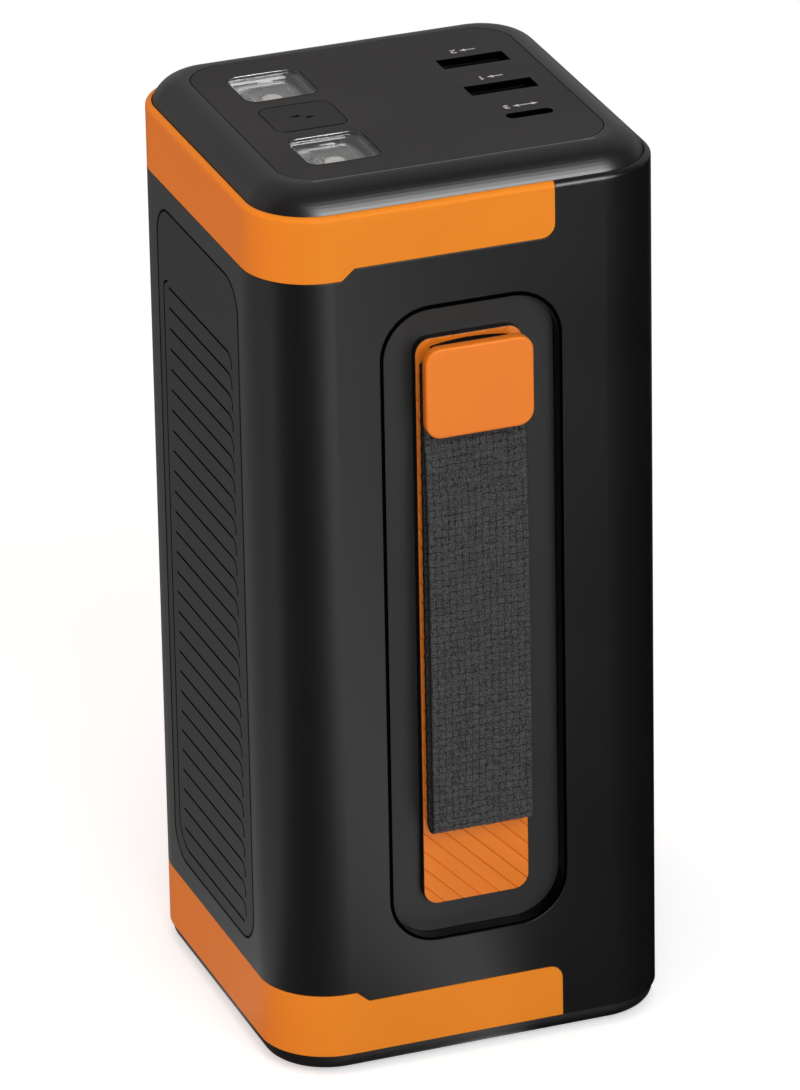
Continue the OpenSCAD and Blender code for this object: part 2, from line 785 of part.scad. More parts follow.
module strap_clamp() color([0.7, 0.7, 0.72]) difference() {
    front_plate(2 * (post_x + clamp_margin), 2 * clamp_margin, clamp_margin / 2, tray_back_y,
                tray_back_y + clamp_t, cap_mid_z);
    post_holes(screw_r + fit, tray_back_y - past, tray_back_y + clamp_t + past);
}

module strap_screws() color([0.5, 0.5, 0.52])
    at_posts() screw(-tray_back_y - clamp_t, strap_screw_len);

// ---------- button and torches ----------

bolt_points = [for (p = [[-1, 0.36], [-0.16, 1], [-0.2, 0.2], [1, -0.36], [0.16, -1], [0.2, -0.2]])
    [p[0] * bolt_w / 2, p[1] * bolt_h / 2]];

module power_button() color([0.22, 0.22, 0.22]) translate([-torch_x, 0, 0]) difference() {
    union() {
        slab(button_w, button_d, button_r, button_z0, body_h);
        slab(button_w + 2 * button_flange, button_d + 2 * button_flange, button_r, button_z0,
             button_z0 + button_flange_t);
    }
    translate([0, 0, body_h - bolt_depth]) linear_extrude(past) polygon(bolt_points);
}

module switch_plunger() color([0.1, 0.1, 0.1]) translate([-torch_x, 0, plunger_z0])
    cylinder(r = plunger_r, h = button_z0 - plunger_z0, $fn = 32);

module tact_switch() color([0.15, 0.15, 0.15]) translate([-torch_x, 0, port_board_z1]) difference() {
    translate([-switch_w / 2, -switch_w / 2, 0]) cube([switch_w, switch_w, switch_h]);
    translate([0, 0, switch_floor]) cylinder(r = plunger_r + slip, h = switch_h, $fn = 32);
}

module torch_lens(side) color([0.85, 0.88, 0.9, 0.4]) translate([-torch_x, side * torch_y, 0])
    slab(torch_w - 2 * lens_gap, torch_d - 2 * lens_gap, torch_r - lens_gap, body_h - lens_t, body_h);
module torch_lens_rear() torch_lens(1);
module torch_lens_front() torch_lens(-1);

// Block with an oval bowl that narrows to the LED
module torch_reflector(side) color([0.75, 0.76, 0.78]) translate([-torch_x, side * torch_y, 0])
    difference() {
        slab(torch_w - fit, torch_d - fit, torch_r, plate_z, body_h - lens_t);
        hull() {
            translate([0, 0, body_h - lens_t]) linear_extrude(past)
                resize([torch_w - 2 * reflector_rim, torch_d - 2 * reflector_rim])
                    circle(torch_d / 2, $fn = 32);
            translate([0, 0, plate_z + reflector_floor])
                cylinder(r = led_r + reflector_rim, h = slip, $fn = 32);
        }
        translate([0, 0, plate_z - past]) cylinder(r = led_r + slip, h = plate_t, $fn = 32);
    }
module torch_reflector_rear() torch_reflector(1);
module torch_reflector_front() torch_reflector(-1);

module torch_boards() color([0.1, 0.25, 0.15]) for (s = [-1, 1]) translate([-torch_x, s * torch_y, 0])
    slab(torch_w + 2 * torch_board_rim, torch_d + 2 * torch_board_rim, torch_board_rim,
         plate_z - torch_board_t, plate_z);

module torch_leds() color([0.95, 0.93, 0.8]) for (s = [-1, 1])
    translate([-torch_x, s * torch_y, plate_z]) cylinder(r = led_r, h = led_h, $fn = 32);

module torch_wires() for (s = [-1, 1], w = [-1, 1])
    color(w > 0 ? "red" : "black")
        translate([w * torch_wire_pitch / 2 - torch_x, s * torch_y, port_board_z1])
            cylinder(r = torch_wire_r, h = plate_z - torch_board_t - port_board_z1, $fn = 16);

// ---------- port board and USB ports ----------

module port_board() color([0.1, 0.3, 0.18]) difference() {
    slab(body_w - 2 * (wall + port_board_gap), body_d - 2 * (wall + port_board_gap),
         corner_r - wall - port_board_gap, port_board_z0, port_board_z1);
    at_four(board_boss_x, board_boss_y) translate([0, 0, port_board_z0 - past])
        cylinder(r = screw_r + fit, h = board_t + 2 * past);
}

module board_screws() color([0.5, 0.5, 0.52])
    at_four(board_boss_x, board_boss_y) screw(port_board_z0, board_screw_len);

module usb_a_shell(i) color([0.6, 0.6, 0.62]) at_port(i) difference() {
    slab(usb_a_in_w + 2 * usb_a_wall, usb_a_in_h + 2 * usb_a_wall, 2 * usb_a_wall, port_board_z1,
         shell_z1);
    slab(usb_a_in_w, usb_a_in_h, usb_a_wall, port_board_z1 + port_floor, shell_z1 + past);
}
module usb_a_shell_1() usb_a_shell(0);
module usb_a_shell_2() usb_a_shell(1);

module usb_a_tongue(i) color([0.1, 0.1, 0.1]) at_port(i)
    translate([-usb_a_tongue_w / 2, 0, port_board_z1 + port_floor]) {
        translate([0, usb_a_tongue_y, 0])
            cube([usb_a_tongue_w, usb_a_tongue_t, shell_z1 - tongue_drop - port_board_z1 - port_floor]);
        translate([0, usb_a_tongue_y + usb_a_tongue_t - usb_a_block_t, 0])
            cube([usb_a_tongue_w, usb_a_block_t, usb_a_block_h]);
    }
module usb_a_tongue_1() usb_a_tongue(0);
module usb_a_tongue_2() usb_a_tongue(1);

module usb_c_shell() color([0.6, 0.6, 0.62]) at_port(2) difference() {
    round_slot(usb_c_in_w + 2 * usb_c_wall, usb_c_in_h + 2 * usb_c_wall, port_board_z1, shell_z1);
    round_slot(usb_c_in_w, usb_c_in_h, port_board_z1 + port_floor, shell_z1 + past);
}

module usb_c_tongue() color([0.1, 0.1, 0.1]) at_port(2)
    translate([-usb_c_tongue_w / 2, 0, port_board_z1 + port_floor]) {
        translate([0, -usb_c_tongue_t / 2, 0])
            cube([usb_c_tongue_w, usb_c_tongue_t, shell_z1 - tongue_drop - port_board_z1 - port_floor]);
        translate([0, -usb_c_block_t / 2, 0]) cube([usb_c_tongue_w, usb_c_block_t, usb_c_block_h]);
    }

// ---------- battery pack ----------

// Foil pouch with its folded seam on top and a tab at each side
module cell(i) color([0.72, 0.74, 0.76]) translate([0, cell_y(i), cell_z0]) {
    pouch_h = cell_h - cell_seal_h;
    seam_w = cell_w - 2 * cell_r;
    translate([0, cell_t, pouch_h / 2]) rotate([90, 0, 0]) linear_extrude(cell_t)
        round_rect(cell_w, pouch_h, cell_r);
    translate([-seam_w / 2, (cell_t - cell_seal_t) / 2, pouch_h - past])
        cube([seam_w, cell_seal_t, cell_seal_h + past]);
    for (s = [-1, 1]) translate([s * tab_x - tab_w / 2, (cell_t - tab_t) / 2, cell_h - past])
        cube([tab_w, tab_t, frame_roof + past]);
}
module cell_1() cell(1);
module cell_2() cell(2);
module cell_3() cell(3);
module cell_4() cell(4);

module foam_pads() color([0.3, 0.3, 0.32]) for (i = [1:cell_count - 1])
    translate([cell_r - cell_w / 2, cell_y(i) + cell_t, cell_z0 + cell_seal_h])
        cube([cell_w - 2 * cell_r, foam_t, cell_h - 3 * cell_seal_h]);

// Deck of a cell frame, inside the sleeve and clear of the strap clamp
module frame_deck(z0, z1) difference() {
    slab(body_w - 2 * (wall + frame_gap), body_d - 2 * (wall + frame_gap),
         corner_r - wall - frame_gap, z0, z1);
    translate([-body_w, front - past, z0 - past])
        cube([2 * body_w, pack_y0 - frame_side - slip - front + past, z1 - z0 + 2 * past]);
}

// Walls round the cells and the main board, with room for both
module frame_walls(z0, z1) difference() {
    room_w = board_w + 2 * cell_play;
    translate([-room_w / 2 - frame_side, pack_y0 - frame_side - slip, z0])
        cube([room_w + 2 * frame_side, board_y1 - pack_y0 + 2 * (frame_side + slip), z1 - z0]);
    translate([-cell_w / 2 - cell_play, pack_y0 - slip, z0 - past])
        cube([cell_w + 2 * cell_play, pack_y1 - pack_y0 + 2 * slip, z1 - z0 + 2 * past]);
    translate([-room_w / 2, board_y0 - slip, z0 - past])
        cube([room_w, board_t + 2 * slip, z1 - z0 + 2 * past]);
}

module cell_frame_lower() color([0.12, 0.12, 0.13]) difference() {
    union() {
        frame_deck(frame_z0, frame_z0 + frame_floor);
        frame_walls(frame_z0 + frame_floor, frame_z0 + frame_h);
    }
    side_bosses(fit, frame_z0 - past, boss_z + fit);
}

// Slots in the deck let the cell tabs and the two arms of the main board through
module cell_frame_upper() color([0.12, 0.12, 0.13]) difference() {
    arm_w = (board_w - notch_w) / 2;
    union() {
        frame_deck(cell_z1 + slip, frame_top_z);
        frame_walls(cell_z1 - frame_grip, cell_z1 + slip);
    }
    for (i = [1:cell_count], s = [-1, 1])
        translate([s * tab_x - tab_w / 2 - cell_play, cell_y(i) + (cell_t - tab_t) / 2 - cell_play,
                   cell_z1 - past])
            cube([tab_w + 2 * cell_play, tab_t + 2 * cell_play, frame_roof + 2 * past]);
    for (s = [-1, 1])
        translate([s * (notch_w + arm_w) / 2 - arm_w / 2 - cell_play, board_y0 - slip, cell_z1 - past])
            cube([arm_w + 2 * cell_play, board_t + 2 * slip, frame_roof + 2 * past]);
}

// Bars join each cell to the next, on alternate sides
module series_bars() color([0.75, 0.45, 0.3]) for (i = [1:cell_count - 1])
    translate([(i % 2 == 1 ? tab_x : -tab_x) - tab_w / 2, cell_y(i) + cell_t / 2 - bar_lap,
               frame_top_z])
        cube([tab_w, cell_t + foam_t + 2 * bar_lap, bar_t]);

// Straps join the two ends of the pack to the left arm of the main board
module board_straps() color([0.75, 0.45, 0.3]) {
    x0 = -tab_x - tab_w / 2;
    for (end = [[cell_count, x0], [1, x0 - bar_arm - bar_lap]]) {
        y0 = cell_y(end[0]) + cell_t / 2 - bar_lap;
        translate([end[1], y0, frame_top_z]) {
            cube([x0 + tab_w - end[1], bar_arm, bar_t]);
            cube([bar_arm, board_y1 - y0, bar_t]);
        }
    }
}

// ---------- main board and leads ----------

module main_board() color([0.1, 0.3, 0.18]) difference() {
    translate([-board_w / 2, board_y0, cell_z0]) cube([board_w, board_t, frame_top_z - cell_z0]);
    translate([-notch_w / 2, board_y0 - past, notch_z]) cube([notch_w, board_t + 2 * past, frame_top_z]);
}

// Row of transistors, with the larger parts above them: capacitors, inductors and the relay
module transistors() color([0.1, 0.1, 0.1]) for (i = [0:4])
    translate([-board_w / 2 + part_gap + i * (board_w - 2 * part_gap - fet_w) / 4, board_y1, part_z0])
        cube([fet_w, fet_d, fet_w]);

big_part_z0 = part_z0 + fet_w + part_gap / 2;

module capacitors() color([0.2, 0.22, 0.3]) for (i = [0:2])
    translate([part_gap + can_r - board_w / 2, board_y1,
               big_part_z0 + can_r + i * (2 * can_r + part_gap / 2)])
        rotate([-90, 0, 0]) cylinder(r = can_r, h = can_h);

module inductors() color([0.3, 0.3, 0.32]) for (i = [0, 1])
    translate([2 * part_gap + 2 * can_r - board_w / 2, board_y1,
               big_part_z0 + i * (choke_w + part_gap)])
        cube([choke_w, choke_d, choke_w]);

module relay() color([0.12, 0.12, 0.13])
    translate([board_w / 2 - part_gap - relay_w, board_y1, big_part_z0])
        cube([relay_w, relay_d, relay_h]);

module board_link() color([0.1, 0.1, 0.1])
    translate([board_w / 2 - slip - link_w, (board_y0 + board_y1 - link_d) / 2, frame_top_z])
        cube([link_w, link_d, port_board_z0 - frame_top_z]);

module lead_terminals() color([0.8, 0.65, 0.3]) for (s = [-1, 1])
    translate([(s * contact_pitch - terminal_w) / 2, lead_y - lead_r, terminal_z1 - terminal_h])
        cube([terminal_w, board_y0 - lead_y + lead_r, terminal_h]);

module lead(side) translate([side * contact_pitch / 2, 0, 0]) {
    translate([0, contact_rear, socket_z - lead_bend]) rotate([90, 0, -90])
        rotate_extrude(angle = 90) translate([lead_bend, 0]) circle(lead_r, $fn = 32);
    translate([0, lead_y, terminal_z1])
        cylinder(r = lead_r, h = socket_z - lead_bend - terminal_z1, $fn = 32);
}
module lead_positive() color("red") lead(1);
module lead_negative() color([0.08, 0.08, 0.08]) lead(-1);

module jump_socket() color([0.1, 0.25, 0.6]) difference() {
    union() {
        front_plate(cover_w + 2 * socket_flange, cover_h + 2 * socket_flange, socket_flange_r,
                    socket_face - socket_flange_t, socket_face, socket_z);
        front_plate(socket_body_w, socket_body_h, socket_body_r, contact_rear + slip,
                    socket_face - slip, socket_z);
    }
    for (s = [-1, 1]) translate([s * contact_pitch / 2, 0, socket_z]) rotate([-90, 0, 0])
        cylinder(r = contact_r + contact_wall, h = body_d);
}

module jump_contact(side) color([0.85, 0.68, 0.3])
    translate([side * contact_pitch / 2, contact_rear, socket_z]) rotate([-90, 0, 0]) difference() {
        cylinder(r = contact_r + contact_wall, h = contact_len + contact_end);
        translate([0, 0, contact_end]) cylinder(r = contact_r, h = contact_len + past);
    }
module jump_contact_positive() jump_contact(1);
module jump_contact_negative() jump_contact(-1);

// The cover is square at its hinged edge and rounded at its lower corners
module cover_plate(g, y0, y1) {
    front_plate(cover_w + 2 * g, cover_h + 2 * g, cover_r + g, y0, y1, socket_z);
    translate([-cover_w / 2 - g, y0, socket_z]) cube([cover_w + 2 * g, y1 - y0, cover_h / 2 + g]);
}

module socket_cover() color([0.12, 0.12, 0.12]) difference() {
    union() {
        intersection() {
            cover_plate(0, back - cover_t, back);
            translate([-cover_w, 0, cover_axis_z - cover_h]) cube([2 * cover_w, body_d, cover_h]);
        }
        translate([0, cover_axis_y, cover_axis_z]) rotate([0, 90, 0])
            cylinder(r = cover_t / 2, h = cover_w, center = true, $fn = 32);
        cover_pin(cover_pin_r, slip);
    }
    // finger notch
    translate([0, back, cover_z1 - cover_h]) rotate([0, 90, 0])
        cylinder(r = cover_notch_r, h = cover_notch_w, center = true, $fn = 24);
}

body_sleeve();
top_cap();
top_panel();
upper_trim();
lower_trim();
base_cover();
base_pad();
base_screws();
grip_left();
grip_right();
strap_tray();
strap_pad();
strap_cap();
strap_root();
strap_loop();
strap_clamp();
strap_screws();
power_button();
switch_plunger();
tact_switch();
torch_lens_rear();
torch_lens_front();
torch_reflector_rear();
torch_reflector_front();
torch_boards();
torch_leds();
torch_wires();
port_board();
board_screws();
usb_a_shell_1();
usb_a_shell_2();
usb_a_tongue_1();
usb_a_tongue_2();
usb_c_shell();
usb_c_tongue();
cell_1();
cell_2();
cell_3();
cell_4();
foam_pads();
cell_frame_lower();
cell_frame_upper();
series_bars();
board_straps();
main_board();
capacitors();
relay();
inductors();
transistors();
board_link();
lead_terminals();
lead_positive();
lead_negative();
jump_socket();
jump_contact_positive();
jump_contact_negative();
socket_cover();
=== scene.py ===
import json
import math

import bmesh
import bpy
import numpy as np
from mathutils import Matrix, Vector


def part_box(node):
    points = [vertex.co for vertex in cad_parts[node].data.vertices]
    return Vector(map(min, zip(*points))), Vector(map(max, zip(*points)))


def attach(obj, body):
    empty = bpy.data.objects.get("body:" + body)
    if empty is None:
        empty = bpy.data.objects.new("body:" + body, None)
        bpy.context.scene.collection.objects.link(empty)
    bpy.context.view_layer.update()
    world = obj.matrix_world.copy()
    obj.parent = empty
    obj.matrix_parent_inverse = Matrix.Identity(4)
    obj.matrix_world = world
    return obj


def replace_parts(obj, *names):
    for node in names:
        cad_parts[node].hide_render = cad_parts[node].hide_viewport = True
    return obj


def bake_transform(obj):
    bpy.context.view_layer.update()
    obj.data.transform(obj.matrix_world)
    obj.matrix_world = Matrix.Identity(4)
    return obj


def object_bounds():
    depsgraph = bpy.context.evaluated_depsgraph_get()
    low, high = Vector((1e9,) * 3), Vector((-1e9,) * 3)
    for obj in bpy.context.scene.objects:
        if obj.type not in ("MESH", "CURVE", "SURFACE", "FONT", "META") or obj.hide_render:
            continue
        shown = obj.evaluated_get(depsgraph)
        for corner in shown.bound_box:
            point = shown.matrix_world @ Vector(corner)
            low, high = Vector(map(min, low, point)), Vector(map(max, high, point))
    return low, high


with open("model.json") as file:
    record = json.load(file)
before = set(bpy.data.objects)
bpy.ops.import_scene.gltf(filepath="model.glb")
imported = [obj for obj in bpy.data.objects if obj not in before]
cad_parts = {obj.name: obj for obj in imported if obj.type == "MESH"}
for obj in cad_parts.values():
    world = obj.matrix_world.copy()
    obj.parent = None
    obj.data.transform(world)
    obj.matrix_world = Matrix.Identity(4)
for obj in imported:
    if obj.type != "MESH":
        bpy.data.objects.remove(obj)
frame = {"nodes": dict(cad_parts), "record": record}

cad_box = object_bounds()
nodes = frame["nodes"]
slots = {s["node"]: s["material_slot"] for s in frame["record"]["subparts"]}


# ---------------------------------------------------------------- sizes, in mm

MM = 0.001


def span(node):
    """Middle and half size of a CAD node, in mm."""
    low, high = (np.array(corner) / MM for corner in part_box(node))
    return np.round((low + high) / 2, 3), np.round((high - low) / 2, 3)


def reach(node):
    """Highest corner of a CAD node, in mm."""
    return sum(span(node))


SIDE, _, TOP = np.round(np.array(cad_box[1]) / MM, 3)
pad_middle, pad_half = span("strap_pad")
cap_middle, cap_half = span("strap_cap")
lens_middle, lens_half = span("torch_lens_rear")
MID_Z = pad_middle[2]                        # the well, its pad and the grips share this middle height
CAP_Z = cap_middle[2]
FLOOR_Y = reach("strap_pad")[1]              # the well's floor, on which the pad lies
PAD_Y, CAP_Y = pad_middle[1] - pad_half[1], cap_middle[1] - cap_half[1]         # their faces
TORCH_X, TORCH_Y = lens_middle[:2]           # the front torch is as far from the middle as the rear one
TORCH_Z = reach("torch_boards")[2]
PORTS = [span(node)[0][:2] for node in ("usb_a_shell_1", "usb_a_shell_2", "usb_c_shell")]
POST_X = 5.5                                 # the strap cap's posts, at both sides of its middle

# faces and openings that materials tell from the gaps round them: half width, half height, corner radius
WELL_RIM = (17.6, 63.75, 9.75)
WELL_OFF = (-0.2, 0.3)
GRIP_SEAT = (22.55, 67.0, 6.85)
GRIP_FACE = (21.6, 66.3, 6.0)
PAD_FACE = (10.3, 56.7, 2.9)
BUTTON_FACE_D = 5.94
SKIN = 30.0                                  # what is nearer the middle than this is inside
HIGHLIGHT_LINE_W = 27.0                                 # half length of the painted highlight line before the panel

BLOCKS = 15                                  # blocks of the basket weave across the strap


def rgb(r, g, b):
    """Linear colour of an sRGB one, 0 to 255."""
    return tuple(x / 12.92 if x <= 0.04045 else ((x + 0.055) / 1.055) ** 2.4
                 for x in (r / 255, g / 255, b / 255)) + (1.0,)


# ---------------------------------------------------------------- materials

class Material:
    """A material's node tree. Patterns are written in millimetres of the object's own space."""

    def __init__(self, name, color, roughness, **fixed):
        self.mat = bpy.data.materials.new(name)
        self.mat.use_nodes = True
        self.tree = self.mat.node_tree
        self.shader = self.tree.nodes["Principled BSDF"]
        self.set(Base_Color=color, Roughness=roughness, **fixed)
        self.place = self.vector("SCALE", self.add("ShaderNodeTexCoord").outputs["Object"], Scale=1 / MM)

    def set(self, **sockets):
        """Sets or links sockets of the shader. An underscore stands for a space in a socket's name."""
        for key, value in sockets.items():
            self.put(self.shader.inputs[key.replace("_", " ")], value)

    def put(self, socket, value):
        if isinstance(value, bpy.types.NodeSocket):
            self.tree.links.new(value, socket)
        else:
            socket.default_value = value

    def add(self, kind, inputs=None, **props):
        n = self.tree.nodes.new(kind)
        for key, value in props.items():
            setattr(n, key, value)
        for key, value in (inputs or {}).items():
            self.put(n.inputs[key], value)
        return n

    def math(self, op, a, b=0.0, clamp=False):
        return self.add("ShaderNodeMath", {0: a, 1: b}, operation=op, use_clamp=clamp).outputs[0]

    def vector(self, op, a, b=(0, 0, 0), output=0, **extra):
        return self.add("ShaderNodeVectorMath", {0: a, 1: b, **extra}, operation=op).outputs[output]

    def ramp(self, value, a, b, to_a=0.0, to_b=1.0):
        """value, from a to b, becomes to_a to to_b, and no more."""
        return self.add("ShaderNodeMapRange", {"Value": value, "From Min": a, "From Max": b,
                                               "To Min": to_a, "To Max": to_b}).outputs[0]

    def axes(self, of=None):
        """X, Y and Z of the place in mm, or of another vector."""
        return self.add("ShaderNodeSeparateXYZ", {0: self.place if of is None else of}).outputs

    def both(self, *shares):
        """The product of these shares: 1 where all are 1."""
        out = shares[0]
        for more in shares[1:]:
            out = self.math("MULTIPLY", out, more)
        return out

    def either(self, *shares):
        """The largest of these shares."""
        out = shares[0]
        for more in shares[1:]:
            out = self.math("MAXIMUM", out, more)
        return out

    def rest(self, share):
        return self.math("SUBTRACT", 1.0, share)

    def band(self, value, low, high):
        """1 where value is between low and high, 0 elsewhere."""
        return self.both(self.ramp(value, low, low + 0.05), self.ramp(value, high, high - 0.05))

    def within(self, a, b, half_a, half_b, r):
        """1 inside a rounded rectangle of these half sides and radius. a and b are 0 at its middle."""
        corner = [self.math("MAXIMUM", self.math("SUBTRACT", self.math("ABSOLUTE", value), half - r), 0.0)
                  for value, half in ((a, half_a), (b, half_b))]
        away = self.add("ShaderNodeCombineXYZ", dict(enumerate(corner))).outputs[0]
        return self.ramp(self.vector("LENGTH", away, output="Value"), r, r - 0.05)

    def cover(self, share, color):
        """Goes over to this colour by this share."""
        skin = self.shader.inputs["Base Color"].links[0].from_socket
        self.set(Base_Color=self.mix(share, skin, color))

    def paint_black_shade(self, *shares):
        """Paints shade: goes over to a black without reflections, as the shade of a deep gap, by the largest
        of these shares.
        """
        share = self.either(*shares)
        self.cover(share, rgb(3, 3, 3))
        self.set(Metallic=share)

    def noise(self, size, detail=2.0, stretch=(1, 1, 1), rough=0.5):
        """Noise from 0 to 1, with features of this size in mm."""
        where = self.vector("MULTIPLY", self.place, stretch)
        return self.add("ShaderNodeTexNoise", {"Vector": where, "Scale": 1 / size, "Detail": detail,
                                               "Roughness": rough}).outputs[0]

    def cells(self, size, feature="F1"):
        """Distance from the middle of the nearest random cell of this size in mm, or from its edge."""
        return self.add("ShaderNodeTexVoronoi", {"Vector": self.place, "Scale": 1 / size},
                        feature=feature).outputs[0]

    def mix(self, share, a, b):
        n = self.add("ShaderNodeMix", data_type="RGBA")
        for socket, value in ((n.inputs[0], share), (n.inputs[6], a), (n.inputs[7], b)):
            self.put(socket, value)
        return n.outputs[2]

    def shade(self, color, by, amount):
        """color, darker and lighter by amount where `by` goes from 0 to 1."""
        dark = tuple(c * (1 - amount) for c in color[:3]) + (1,)
        light = tuple(min(1, c * (1 + amount)) for c in color[:3]) + (1,)
        return self.mix(by, dark, light)

    def spread(self, noise, low, high):
        """The middle of a noise, made to run from low to high."""
        return self.ramp(noise, 0.3, 0.7, low, high)

    def bump(self, height, depth, under=None):
        """Raises the surface by height, 0 to 1, times depth in mm."""
        ins = {"Height": height, "Distance": depth * MM, "Strength": 1.0}
        if under is not None:
            ins["Normal"] = under
        return self.add("ShaderNodeBump", ins).outputs[0]

    def edges(self, radius):
        """Normal that rounds the edges over by this radius in mm, and how much it turns, 0 to 1."""
        soft = self.add("ShaderNodeBevel", {"Radius": radius * MM}, samples=4).outputs[0]
        flat = self.add("ShaderNodeNewGeometry").outputs["Normal"]
        dot = self.vector("DOT_PRODUCT", soft, flat, output="Value")
        return soft, self.ramp(dot, 0.995, 0.8)


def plastic(name, color, roughness, grain=0.35, depth=0.004, mottle=0.08, edge=0.2, lift=0.35, **fixed):
    """Moulded plastic: spark-eroded grain, faint flow marks, and edges that are less rough, as polished by
    handling, and paler, a painted highlight.
    """
    m = Material(name, color, roughness, **fixed)
    soft, edge_wear_and_highlight = m.edges(edge)
    fine = m.noise(grain, 3.0)
    flow = m.noise(24.0, 1.0)
    skin = m.shade(color, m.ramp(m.math("ADD", flow, m.math("MULTIPLY", fine, 0.6)), 0.55, 1.05), mottle)
    # the paler edge colour is a painted highlight; the edges' lower roughness is their polish
    pale = tuple(min(1, c * (1 + lift) + 0.004) for c in color[:3]) + (1,)
    rough = m.spread(m.math("ADD", m.math("MULTIPLY", flow, 0.3), m.math("MULTIPLY", fine, 0.7)),
                     roughness - 0.02, roughness + 0.02)
    m.set(Base_Color=m.mix(m.math("MULTIPLY", edge_wear_and_highlight, 0.6), skin, pale),
          Roughness=m.math("SUBTRACT", rough, m.math("MULTIPLY", edge_wear_and_highlight, 0.1)),
          Normal=m.bump(fine, depth, soft))
    return m


def metal(name, color, roughness, brush=(1, 1, 1)):
    """Brushed or rolled metal, with faint stains and soft edges."""
    m = Material(name, color, roughness, Metallic=1.0)
    soft, _ = m.edges(0.12)
    lines = m.noise(0.25, 3.0, brush)
    stain = m.noise(3.0, 4.0)
    m.set(Base_Color=m.shade(color, m.ramp(stain, 0.3, 0.7), 0.12),
          Roughness=m.ramp(m.math("ADD", lines, stain), 0.7, 1.3, roughness - 0.08, roughness + 0.1),
          Normal=m.bump(lines, 0.003, soft))
    return m


# housing

def body_satin():
    """Satin sleeve, with painted shade: black in the rim of its well and in the seats of the grips."""
    m = plastic("body_satin", rgb(19, 19, 19), 0.25, 0.28, 0.0005)
    x, y, z = m.axes()
    over = m.math("SUBTRACT", z, MID_Z)
    rim = m.within(m.math("SUBTRACT", x, WELL_OFF[0]), m.math("SUBTRACT", over, WELL_OFF[1]), *WELL_RIM)
    seat = m.within(y, over, *GRIP_SEAT)
    # painted shade: black without reflections in the well's rim and in the grips' seats
    m.paint_black_shade(m.both(rim, m.ramp(y, -SKIN, -SKIN - 0.1)),
              m.both(seat, m.ramp(m.math("ABSOLUTE", x), SKIN, SKIN + 0.1)))
    return m


def grip_satin():
    """Satin grip, with painted shade: black in its grooves and round its edge."""
    m = plastic("grip_satin", rgb(27, 27, 27), 0.42, 0.25, 0.003, edge=0.08)
    x, y, z = m.axes()
    inside = m.within(y, m.math("SUBTRACT", z, MID_Z), *GRIP_FACE)
    # painted shade: black in the grooves and in the gap round the face
    m.paint_black_shade(m.rest(m.both(m.ramp(m.math("ABSOLUTE", x), SIDE - 0.12, SIDE - 0.03), inside)))
    return m


def cap_gloss():
    """Semi-gloss cap, with painted shade in the pocket of the panel and a painted highlight line before it.
    """
    m = plastic("cap_semi_gloss", rgb(26, 26, 26), 0.29, 0.2, 0.0004, Specular_IOR_Level=0.6)
    x, y, z = m.axes()
    w, d = span("top_panel")[1][:2] + 0.1
    # painted shade: black in the pocket round the panel
    m.paint_black_shade(m.both(m.band(x, -w, w), m.band(y, -d, d), m.ramp(z, TOP - 0.4, TOP - 0.5)))
    # painted highlight: a pale line along the cap's edge before the panel
    painted_highlight_line = m.both(m.band(x, -HIGHLIGHT_LINE_W, HIGHLIGHT_LINE_W), m.band(y, -d - 0.35, -d + 0.03), m.ramp(z, TOP - 0.3, TOP - 0.2))
    m.cover(painted_highlight_line, rgb(112, 112, 112))
    return m


def top_matt(name, color, roughness):
    """Matt plastic of the flat top, and the share of it that is below the top."""
    m = plastic(name, color, roughness, 0.22, 0.005, edge=0.06, Specular_IOR_Level=0.08)
    return m, m.ramp(m.axes()[2], TOP - 0.05, TOP - 0.14)


def panel_matt():
    m, below = top_matt("panel_matt", rgb(56, 56, 56), 0.6)
    # painted shade: black below the top, in the gap round the panel
    m.paint_black_shade(below)
    return m


def button_matt():
    m, below = top_matt("button_matt", rgb(52, 52, 52), 0.58)
    # painted shade: black below the top and in a line along the button's front and back edges
    m.paint_black_shade(below, m.ramp(m.math("ABSOLUTE", m.axes()[1]), BUTTON_FACE_D, BUTTON_FACE_D + 0.05))
    return m


def pad_orange():
    """Orange of the strap's pad and cap, nearly black down the pad's sides and round its outline."""
    m = plastic("strap_pad_orange", rgb(228, 122, 25), 0.5, 0.25, 0.003, 0.03, 0.03, 0.06)
    x, y, z = m.axes()
    inside = m.within(x, m.math("SUBTRACT", z, MID_Z), *PAD_FACE)
    face = m.both(m.ramp(y, PAD_Y + 0.35, PAD_Y + 0.29), inside)
    cap = m.ramp(y, PAD_Y - 0.25, PAD_Y - 0.35)
    m.cover(m.rest(m.either(face, cap)), rgb(14, 8, 5))
    return m


def well_satin():
    """Satin floor of the strap's well, with black walls, painted as shade without reflections."""
    m = plastic("well_satin", rgb(34, 34, 34), 0.38, 0.28, 0.0012, edge=0.04, Specular_IOR_Level=0.32)
    # painted shade: the walls black without reflections
    m.paint_black_shade(m.ramp(m.axes()[1], FLOOR_Y - 0.02, FLOOR_Y - 0.06))
    return m


# rubber and foam

def matt_rubber():
    m = Material("matt_rubber", rgb(24, 24, 24), 0.72, Sheen_Weight=0.15, Sheen_Roughness=0.4)
    soft, edge_wear_and_highlight = m.edges(0.3)
    fine, dust = m.noise(0.18, 4.0, rough=0.7), m.noise(7.0, 4.0)
    skin = m.shade(rgb(24, 24, 24), m.ramp(dust, 0.35, 0.7), 0.25)
    # paler towards the edges: a painted highlight, and wear
    m.set(Base_Color=m.mix(m.math("MULTIPLY", edge_wear_and_highlight, 0.4), skin, rgb(44, 44, 44)),
          Roughness=m.ramp(m.math("ADD", fine, dust), 0.7, 1.3, 0.62, 0.82),
          Normal=m.bump(fine, 0.012, soft))
    return m


